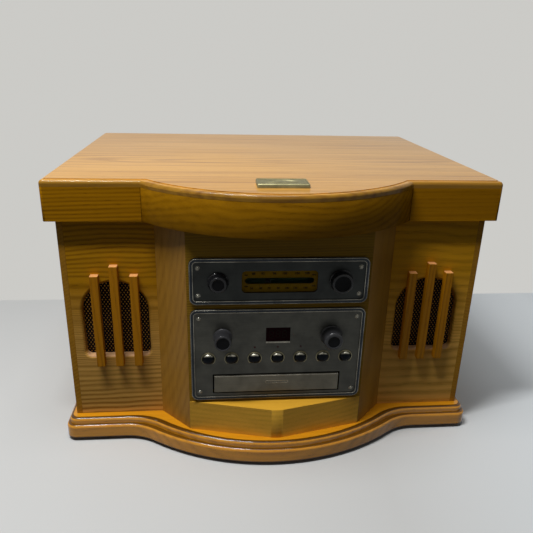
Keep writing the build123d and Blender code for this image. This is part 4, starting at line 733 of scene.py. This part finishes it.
def drawer_trim():
    low, high = low_high("drawer_front")
    shape = Shape()
    ends = (low.x + BEAD_INSET, high.x - BEAD_INSET)
    bead = [(x, low.y + BEAD_SINK, high.z - BEAD_INSET) for x in ends]
    shape.tube(bead, BEAD_RADIUS, sides=10, closed=False)
    y = low.y + BAR_SINK
    z = (low.z + high.z) / 2 + BAR_RISE
    shape.tube(rounded_rectangle(0, z, BAR_LENGTH, BAR_HEIGHT, BAR_CORNER, y), BAR_RADIUS)
    for k in range(STROKES):
        x = (k - STROKES // 2) * STROKE_STEP
        stroke = [(x, y, z - STROKE_HALF), (x, y, z + STROKE_HALF)]
        shape.tube(stroke, STROKE_RADIUS, sides=6, closed=False)
    piece("drawer_trim", shape, bead_bright, "drawer")


drawer_trim()

# Knobs: turned, tapered caps with dished faces, two of them ribbed
KNOB_GAP = 0.4
KNOB_SHAFT = 3.0
KNOB_SEGMENTS = 176
KNOB_RIBS = ((7, 8), 0.25, 4)


def knob(body, face_radius, material, ribbed=False, round_off=1.6):
    name = f"{body}_knob"
    low, high = low_high(name)
    x, z = front_middle(low, high)
    radius = (high.x - low.x) / 2
    centre = (x, panel_y - KNOB_GAP, z)
    reach = centre[1] - low.y
    cap = radius - 0.75
    lip = face_radius - round_off
    profile = [(KNOB_SHAFT, -6.0), (KNOB_SHAFT, 0.0), (radius - 0.4, 0.0), (radius, 0.4), (radius, 1.5),
               (radius - 0.4, 2.0), (cap + 0.1, 2.2), (cap, 2.7),
               (face_radius + 0.1, reach - round_off - 0.6)]
    profile += [(lip + round_off * cos(a), reach - round_off * (1 - sin(a))) for a in quarter_turn(5)]
    profile += [(lip - 0.5, reach), (lip - 0.95, reach - 0.35), (lip - 1.1, reach - 1.0),
                (TIP, reach - 1.1)]
    shape = Shape()
    shape.lathe(profile, centre, FRONT, RIGHT, KNOB_SEGMENTS, KNOB_RIBS if ribbed else None)
    piece(f"{body}_cap", shape, material, body, (name,))
    rim = lip - 1.15
    dish = [(rim, reach - 1.3), (rim, reach - 0.85), (rim - 0.3, reach - 0.65), (rim - 0.8, reach - 0.6),
            (rim - 1.1, reach - 0.75), (rim - 1.6, reach - 0.85), (TIP, reach - 0.6)]
    face = Shape()
    face.lathe(dish, centre, FRONT, RIGHT, segments=72)
    mark = [(x, low.y + 0.55, z + rim - 2.6), (x, low.y + 0.5, z + rim - 0.4)]
    face.tube(mark, 0.35, closed=False)
    piece(f"{body}_face", face, gloss_black, body)


knob("volume", 9.2, knob_black, ribbed=True)
knob("tuning", 11.6, knob_black, ribbed=True)
knob("function", 9.4, knob_metal, round_off=1.2)
knob("tone", 10.8, knob_metal, round_off=3.0)

# Buttons: domed caps in fixed rings, both a little flat at the bottom
BUTTONS = 7
BUTTON_RADIUS = 6.5
BUTTON_FLANGE = 7.4
BUTTON_STEM = 2.0
DOME_START = 0.6
DOME_FLAT = 5.1
FLAT_DEPTH = 2.5
RING_INNER = 6.7
RING_OUTER = 8.1
RING_PROFILE = [(RING_INNER, -0.4), (RING_OUTER, -0.4), (RING_OUTER, 0.25), (7.9, 0.85), (7.5, 1.05),
                (7.05, 0.8), (6.75, 0.1)]
RING_FLAT = (5.2, 6.1)


def button_cap(number, low, high):
    x, z = front_middle(low, high)
    reach = panel_y - low.y
    profile = [(BUTTON_STEM, panel_y - high.y), (BUTTON_STEM, -3.8), (BUTTON_FLANGE, -3.8),
               (BUTTON_FLANGE, -2.7), (BUTTON_RADIUS, -2.7), (BUTTON_RADIUS, DOME_START)]
    profile += [(max(BUTTON_RADIUS * cos(a), TIP), DOME_START + (reach - DOME_START) * sin(a))
                for a in quarter_turn(14)]
    dome = Shape()
    dome.lathe(profile, (x, panel_y, z), FRONT, RIGHT, segments=56)
    dome.verts = [(vx, vy, max(vz, z - DOME_FLAT) if vy < panel_y + FLAT_DEPTH else vz)
                  for vx, vy, vz in dome.verts]
    piece(f"button_cap_{number}", dome, button_painted_highlight, f"push_button_{number}",
          (f"button_{number}",))


def ring_section(x, z, angle):
    """The ring's section at an angle, held above its flat."""
    section = []
    for radius, height in RING_PROFILE:
        share = (radius - RING_INNER) / (RING_OUTER - RING_INNER)
        floor = -(RING_FLAT[0] + share * (RING_FLAT[1] - RING_FLAT[0]))
        section.append((x + radius * cos(angle), panel_y - height, z + max(radius * sin(angle), floor)))
    return section


def push_buttons():
    rings = Shape()
    for number in range(1, BUTTONS + 1):
        low, high = low_high(f"button_{number}")
        button_cap(number, low, high)
        rings.rings([ring_section(*front_middle(low, high), angle) for angle in full_turn(64)], closed=True)
    piece("button_rings", rings, bezel_brass, "cabinet")


push_buttons()

# Screws: domed heads with a ring groove on the plates and the rear panel,
# and flat heads on the hinge leaves, three to a leaf in two rows
DOMED_HEAD = [(TIP, -6), (1.3, -6), (1.3, 0), (2.5, 0), (2.5, 0.35), (2.2, 0.55), (2.0, 0.5), (1.85, 0.75),
              (1.6, 1.15), (1.1, 1.45), (0.5, 1.58), (TIP, 1.6)]
FLAT_HEAD = [(TIP, -0.6), (2.1, -0.6), (2.1, 0.1), (1.9, 0.28), (0.9, 0.42), (0.7, 0.2), (TIP, 0.15)]
PLATE_SCREW_INSET = 9.6
PLATE_SCREW_LEVELS = (203.4, 235.2, 82.2, 175.6)
SCREW_HEAD_RADIUS = 2.2
REAR_SCREW_LOW = 6.0
REAR_SCREW_HIGH = 24.0
HINGE_X = 150.0
KNUCKLE_RADIUS = 3.0
LEAF_BACK = 4.8
LEAF_MIDDLE = 12.6
LEAF_PLACES = ((-17, 3.5), (0, -3.5), (17, 3.5))


def screws(name, profile, segments, places, body, stands_for=()):
    shape = Shape()
    for x, y, z, out in places:
        shape.lathe(profile, (x, y, z), out, RIGHT, segments)
    piece(name, shape, screw_metal, body, stands_for)


def screw_heads():
    plate_x = radio_high.x - PLATE_SCREW_INSET
    places = [(side * plate_x, panel_y, z, FRONT) for side in (-1, 1) for z in PLATE_SCREW_LEVELS]
    rear_low, rear_high = low_high("rear_panel")
    rear_x = low_high("panel_screws")[1].x - SCREW_HEAD_RADIUS
    levels = (rear_low.z + REAR_SCREW_LOW, rear_high.z - REAR_SCREW_HIGH)
    places += [(x, rear_high.y, z, BACK) for x in (-rear_x, 0, rear_x) for z in levels]
    screws("screw_heads", DOMED_HEAD, 28, places, "cabinet", ("panel_screws",))


def hinge_screws(name, body, side):
    """Screws on the upper or the lower leaves, for side 1 or -1."""
    knuckle = low_high("cabinet_hinge_set")[1]
    leaf_z = knuckle.z - KNUCKLE_RADIUS + side * LEAF_MIDDLE
    places = [(hinge + dx, knuckle.y - LEAF_BACK, leaf_z + side * dz, BACK)
              for hinge in (-HINGE_X, HINGE_X) for dx, dz in LEAF_PLACES]
    screws(name, FLAT_HEAD, 24, places, body)


screw_heads()
hinge_screws("hinge_screws", "cabinet", -1)
hinge_screws("lid_hinge_screws", "lid", 1)

# Speaker mesh: two sets of crossing strands, and the cloth behind them
SPEAKER_X = 185.0
MESH_INSET = 1.0
STRAND_STEP = (1.95, 2.9)
STRAND_RADIUS = 0.92
STRAND_FLAT = 0.2
STRAND_WEAVE = 0.1
CROSSINGS = range(-60, 61)
MESH_START = 20
MESH_FORWARD = 0.15
CLOTH_BEHIND = 0.22
ARCH_STEPS = 32
mesh_low, mesh_high = low_high("speaker_meshes")
arch_half = mesh_high.x - SPEAKER_X - MESH_INSET
arch_z = mesh_high.z - MESH_INSET - arch_half
sill_z = mesh_low.z + MESH_INSET


def inside_arch(x, z):
    if z < sill_z or abs(x) > arch_half:
        return False
    return z < arch_z or x * x + (z - arch_z) ** 2 < arch_half**2


def speaker_mesh(name, centre):
    middle = (mesh_low.y + mesh_high.y) / 2 - MESH_FORWARD
    dx, dz = STRAND_STEP
    mesh = Shape()
    for lean in (-1, 1):
        for line in CROSSINGS:
            points = [(k, lean * k * dx + 2 * line * dx, arch_z - MESH_START + k * dz) for k in CROSSINGS]
            strand = [(centre + x, middle + STRAND_WEAVE * lean * (-1) ** (k + line), z)
                      for k, x, z in points if inside_arch(x, z)]
            if len(strand) > 1:
                mesh.tube(strand, STRAND_RADIUS, sides=4, closed=False, flat=STRAND_FLAT)
    piece(f"{name}_speaker_mesh", mesh, mesh_black, "cabinet", ("speaker_meshes",),
          smooth=False)
    turn = [pi * k / ARCH_STEPS for k in range(ARCH_STEPS + 1)]
    arch = [(arch_half * cos(angle), arch_z + arch_half * sin(angle)) for angle in turn]
    outline = [(arch_half, sill_z), *arch, (-arch_half, sill_z)]
    cloth = Shape()
    cloth.rings([[(centre + x, y, z) for x, z in outline] for y in (middle + CLOTH_BEHIND, mesh_high.y)])
    piece(f"{name}_speaker_cloth", cloth, bronze_cloth, "cabinet", smooth=False)


speaker_mesh("left", -SPEAKER_X)
speaker_mesh("right", SPEAKER_X)

# Dial: pane, printed numbers and ticks. A word is its name, its text, its place beside
# the dial's middle and over it, and its size.
BOLD = 0.12
PRINT_LIFT = 0.03
DIAL_X = 0.5
DIAL_WORDS = (("dial_fm", "FM", -37.3, 6.6, 2.6), ("dial_am", "AM", -37.3, -6.4, 2.6),
              ("dial_mega", "MHz", 37.0, 6.6, 2.3), ("dial_kilo", "kHz", 37.0, -6.4, 2.3))
UPPER_ROW = 8.4
LOWER_ROW = -8.7
UPPER_SIZE = 3.7
LOWER_SIZE = 3.2
UPPER_NUMBERS = (("88", -28.6), ("92", -18.5), ("96", -5.9), ("100", 5.2), ("104", 18.9), ("108", 29.8))
LOWER_NUMBERS = (("54", -30.8), ("60", -20.7), ("70", -11.4), ("80", -1.3), ("100", 8.1), ("120", 17.3),
                 ("160", 28.6))
TICKS = 31
TICK_SPAN = 68.0
TICK_START = 4.0
TICK_LONG = 2.0
TICK_SHORT = 1.1
TICK_HALVES = (0.14, 0.02)
PANE_BACK = 0.4
PANE_BEVEL = 0.15
card_front = low_high("dial_scale")[0].y
pane_low, pane_high = low_high("dial_window")
dial_z = (pane_low.z + pane_high.z) / 2


def dial_pane():
    xs = (pane_low.x, pane_high.x)
    ys = (pane_low.y, pane_high.y - PANE_BACK)
    zs = (pane_low.z, pane_high.z)
    pane = Shape()
    pane.add([(x, y, z) for x in xs for y in ys for z in zs],
             [(0, 1, 3, 2), (4, 6, 7, 5), (0, 4, 5, 1), (2, 3, 7, 6), (0, 2, 6, 4), (1, 5, 7, 3)])
    obj = piece("dial_pane", pane, clear_pane, "cabinet", ("dial_window",), smooth=False)
    bevel = obj.modifiers.new("bevel", "BEVEL")
    bevel.width = PANE_BEVEL * MM
    bevel.segments = 3


def words(name, text, x, z, size):
    """Flat print on the dial card, its middle at x and z."""
    curve = bpy.data.curves.new(name, "FONT")
    curve.body = text
    curve.size = size * MM
    curve.align_x = "CENTER"
    curve.align_y = "CENTER"
    curve.extrude = 0.02 * MM
    curve.offset = BOLD * MM
    curve.resolution_u = 3
    curve.materials.append(ink)
    obj = bpy.data.objects.new(name, curve)
    scene.collection.objects.link(obj)
    at = Vector((x, card_front - PRINT_LIFT, z))
    obj.matrix_world = Matrix.Translation(at * MM) @ Matrix.Rotation(pi / 2, 4, "X")
    bpy.context.view_layer.update()
    mesh = bpy.data.meshes.new_from_object(obj)
    mesh.transform(obj.matrix_world)
    bpy.data.objects.remove(obj)
    made = bpy.data.objects.new(name, mesh)
    scene.collection.objects.link(made)
    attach(made, "cabinet")


def dial_print():
    for k, (number, x) in enumerate(UPPER_NUMBERS):
        words(f"dial_upper_{k}", number, x, dial_z + UPPER_ROW, UPPER_SIZE)
    for k, (number, x) in enumerate(LOWER_NUMBERS):
        words(f"dial_lower_{k}", number, x, dial_z + LOWER_ROW, LOWER_SIZE)
    for name, text, x, height, size in DIAL_WORDS:
        words(name, text, DIAL_X + x, dial_z + height, size)


def dial_ticks():
    y = card_front - PRINT_LIFT
    half_x, half_y = TICK_HALVES
    ticks = Shape()
    for k in range(TICKS):
        x = DIAL_X - TICK_SPAN / 2 + TICK_SPAN * k / (TICKS - 1)
        end = TICK_START + (TICK_LONG if k % 5 == 0 else TICK_SHORT)
        for low, high in ((dial_z + TICK_START, dial_z + end), (dial_z - end, dial_z - TICK_START)):
            ticks.rings([[(x + sx * half_x, y + sy * half_y, z) for sx, sy in SQUARE] for z in (low, high)])
    piece("dial_ticks", ticks, ink, "cabinet", smooth=False)


dial_pane()
dial_print()
dial_ticks()

# Display: a red pane on its flange, unlit digits of seven bars, and a light sill.
# A bar is its place in a digit, as shares along x and millimetres up, and whether it lies level.
DISPLAY_FLANGE = 2.05
FLANGE_THICKNESS = 1.0
DIGITS_X = (-7.6, -0.2, 7.2)
DIGIT_HALF = 2.1
DIGIT_LEAN = 0.06
BAR_HALVES = (0.42, 1.5)
BARS = ((0, 4.2, True), (0, 0, True), (0, -4.2, True), (-1, 2.1, False), (1, 2.1, False), (-1, -2.1, False),
        (1, -2.1, False))
SILL_SECTION = ((0.5, 0), (-0.3, 0), (-0.6, 0.3), (-0.3, 1.9), (0.5, 2.1))
display_low, display_high = low_high("display_window")
display_z = (display_low.z + display_high.z) / 2
display_half_x = (display_high.x - display_low.x) / 2 - DISPLAY_FLANGE
display_half_z = (display_high.z - display_low.z) / 2 - DISPLAY_FLANGE


def display_pane():
    step_y = display_high.y - FLANGE_THICKNESS
    flange = rounded_rectangle(0, display_z, display_high.x - display_low.x, display_high.z - display_low.z,
                               0.8, display_high.y, steps=3)
    pane = rounded_rectangle(0, display_z, 2 * display_half_x, 2 * display_half_z, 0.5, step_y, steps=3)
    shape = Shape()
    shape.rings([flange, [(x, step_y, z) for x, _, z in flange]])
    shape.rings([pane, [(x, display_low.y, z) for x, _, z in pane]])
    piece("display_pane", shape, display_red, "cabinet", ("display_window",), smooth=False)


def display_digits():
    digits = Shape()
    short, long = BAR_HALVES
    for digit_x in DIGITS_X:
        for side, up, level in BARS:
            half_x, half_z = (long, short) if level else (short, long)
            x, z = digit_x + side * DIGIT_HALF + up * DIGIT_LEAN, display_z + up
            digits.rings([[(x + sx * half_x, y, z + sz * half_z) for sx, sz in SQUARE]
                          for y in (display_low.y + 0.05, display_low.y - PRINT_LIFT)])
    piece("display_digits", digits, ink, "cabinet", smooth=False)


def display_sill():
    z = display_z - display_half_z - 0.2
    sill = Shape()
    sill.rings([[(x, panel_y + dy, z - dz) for dy, dz in SILL_SECTION]
                for x in (-display_half_x, display_half_x)])
    piece("display_sill", sill, bead_bright, "cabinet", smooth=False)


display_pane()
display_digits()
display_sill()

# Name plate on the lid: a raised edge round a sunken field, with an oval, a ring of
# small leaves and two studs at each corner
PLATE_ROUND = 1.8
OVAL_HALVES = (17, 7.4)
OVAL_STEPS = ((1.0, 0.6), (0.98, 0.2), (0.92, 0.05), (0.86, 0.2), (0.84, 0.4))
LEAVES = 9
LEAF_RING = (10.0, 3.6)
LEAF_HALVES = (2.6, 1.3)
LEAF_STEPS = ((TIP, 0.1), (0.3, 0.15), (0.55, 0.4))
STUDS = ((20.6, 9.0, 1.7), (17.4, 9.6, 1.1))


def ellipse(cx, cy, z, halves, share, angles, turn=1):
    """Points of an ellipse in a level plane, turned the other way round for turn -1."""
    half_x, half_y = halves
    return [(cx + half_x * share * cos(a), cy + turn * half_y * share * sin(a), z) for a in angles]


def badge():
    low, high = low_high("name_plate")
    cy = (low.y + high.y) / 2
    width, depth = high.x - low.x, high.y - low.y

    def outline(inset, z):
        corner = max(PLATE_ROUND - inset, 0.3)
        flat = rounded_rectangle(0, 0, width - 2 * inset, depth - 2 * inset, corner, 0, steps=5)
        return [(x, cy - across, z) for x, _, across in flat]

    shape = Shape()
    levels = [(0.0, low.z), (0.0, high.z - 1.0), (0.2, high.z - 0.7), (0.7, high.z - 0.3), (0.9, high.z),
              (1.9, high.z), (2.1, high.z - 0.45)]
    shape.rings([outline(inset, z) for inset, z in reversed(levels)])
    shape.rings([ellipse(0, cy, high.z - down, OVAL_HALVES, share, full_turn(64), turn=-1)
                 for share, down in OVAL_STEPS])
    for angle in full_turn(LEAVES):
        cx, leaf_y = LEAF_RING[0] * cos(angle), cy + LEAF_RING[1] * sin(angle)
        shape.rings([ellipse(cx, leaf_y, high.z - down, LEAF_HALVES, share, full_turn(16))
                     for share, down in LEAF_STEPS])
    for sx in (-1, 1):
        for sy in (-1, 1):
            for x, y, size in STUDS:
                shape.lathe([(size, 0), (size * 0.93, 0.3), (size * 0.6, 0.55), (TIP, 0.6)],
                            (sx * x, cy + sy * y, high.z - 0.6), UP, RIGHT, segments=20)
    piece("badge", shape, badge_metal, "lid", ("name_plate",))
    field = Shape()
    field.rings([outline(2.0, high.z - 1.2), outline(2.0, high.z - 0.5)])
    piece("badge_field", field, badge_dark, "lid")


badge()

# Stage, in metres: a pale floor that ends at a wall tone, with painted light that brightens it towards the
# right over the object's shadow, lamps and the world
FLOOR_HALF = 60
WALL_Y = 0.262
WALL_EDGE = 0.004
BRIGHTER_FROM = 0.12
BRIGHTER_OVER = 0.3
FLOOR_COLOR = (0.62, 0.625, 0.615)
FLOOR_RIGHT_PAINTED_LIGHT = (0.84, 0.88, 0.90)
FLOOR_BOUNCE = (0.07, 0.07, 0.07)
WALL_COLOR = (0.60, 0.595, 0.57)
WORLD_COLOR = (0.88, 0.94, 1.0)
WORLD_STRENGTH = 0.08


def seen_rays(b):
    """1 for camera, glossy and transmission rays."""
    path = b.new("ShaderNodeLightPath")
    total = b.math("ADD", path.outputs["Is Camera Ray"], path.outputs["Is Glossy Ray"])
    return b.math("ADD", total, path.outputs["Is Transmission Ray"], clamp=True)


def mix_shaders(b, share, first, second, output):
    mixer = b.new("ShaderNodeMixShader")
    for socket, source in zip(mixer.inputs, (share, first, second)):
        b.link(source, socket)
    b.link(mixer.outputs[0], output.inputs[0])


def stage_floor():
    data = bpy.data.meshes.new("floor")
    data.from_pydata([(sx * FLOOR_HALF, sy * FLOOR_HALF, 0) for sx, sy in SQUARE], [], [(0, 1, 2, 3)])
    floor = bpy.data.objects.new("floor", data)
    scene.collection.objects.link(floor)
    material, b, shader, coords = principled("floor_pale", Roughness=0.4, Specular_IOR_Level=0.15)
    x, y, _ = b.split(coords)
    cloud = b.noise(coords, 3.0, detail=5)
    near = b.mix(b.math("MULTIPLY", cloud, 0.4), FLOOR_COLOR, scaled(FLOOR_COLOR, 0.93))
    # Painted light: the floor turns brighter towards the right, lifting the object's shadow there.
    near = b.mix(b.rise(x, BRIGHTER_FROM, BRIGHTER_OVER), near, FLOOR_RIGHT_PAINTED_LIGHT)
    seen = seen_rays(b)
    b.link(b.mix(seen, FLOOR_BOUNCE, near), shader.inputs["Base Color"])
    glow = b.new("ShaderNodeEmission")
    glow.inputs[0].default_value = (*WALL_COLOR, 1)
    far = b.math("MULTIPLY", b.rise(y, WALL_Y, WALL_EDGE), seen)
    mix_shaders(b, far, shader.outputs[0], glow.outputs[0], b.find("OUTPUT_MATERIAL"))
    data.materials.append(material)


def area_light(name, at, aim, size, power):
    data = bpy.data.lights.new(name, "AREA")
    data.shape = "RECTANGLE"
    data.size, data.size_y = size
    data.energy = power
    light = bpy.data.objects.new(name, data)
    scene.collection.objects.link(light)
    at, aim = Vector(at), Vector(aim)
    light.matrix_world = Matrix.Translation(at) @ (aim - at).to_track_quat("-Z", "Y").to_matrix().to_4x4()


def world_light():
    world = bpy.data.worlds.new("world")
    scene.world = world
    world.use_nodes = True
    b = Nodes(world.node_tree)
    background = b.find("BACKGROUND")
    background.inputs[0].default_value = (*WORLD_COLOR, 1)
    background.inputs[1].default_value = WORLD_STRENGTH
    wall = b.new("ShaderNodeBackground")
    wall.inputs[0].default_value = (*WALL_COLOR, 1)
    mix_shaders(b, seen_rays(b), background.outputs[0], wall.outputs[0], b.find("OUTPUT_WORLD"))


stage_floor()
area_light("key", (-0.36, -0.40, 1.25), (-0.36, -0.12, 0.2), (0.5, 0.06), 10.5)
area_light("overhead", (-0.4, -0.3, 2.6), (-0.4, -0.2, 0.2), (1.8, 0.8), 24)
world_light()
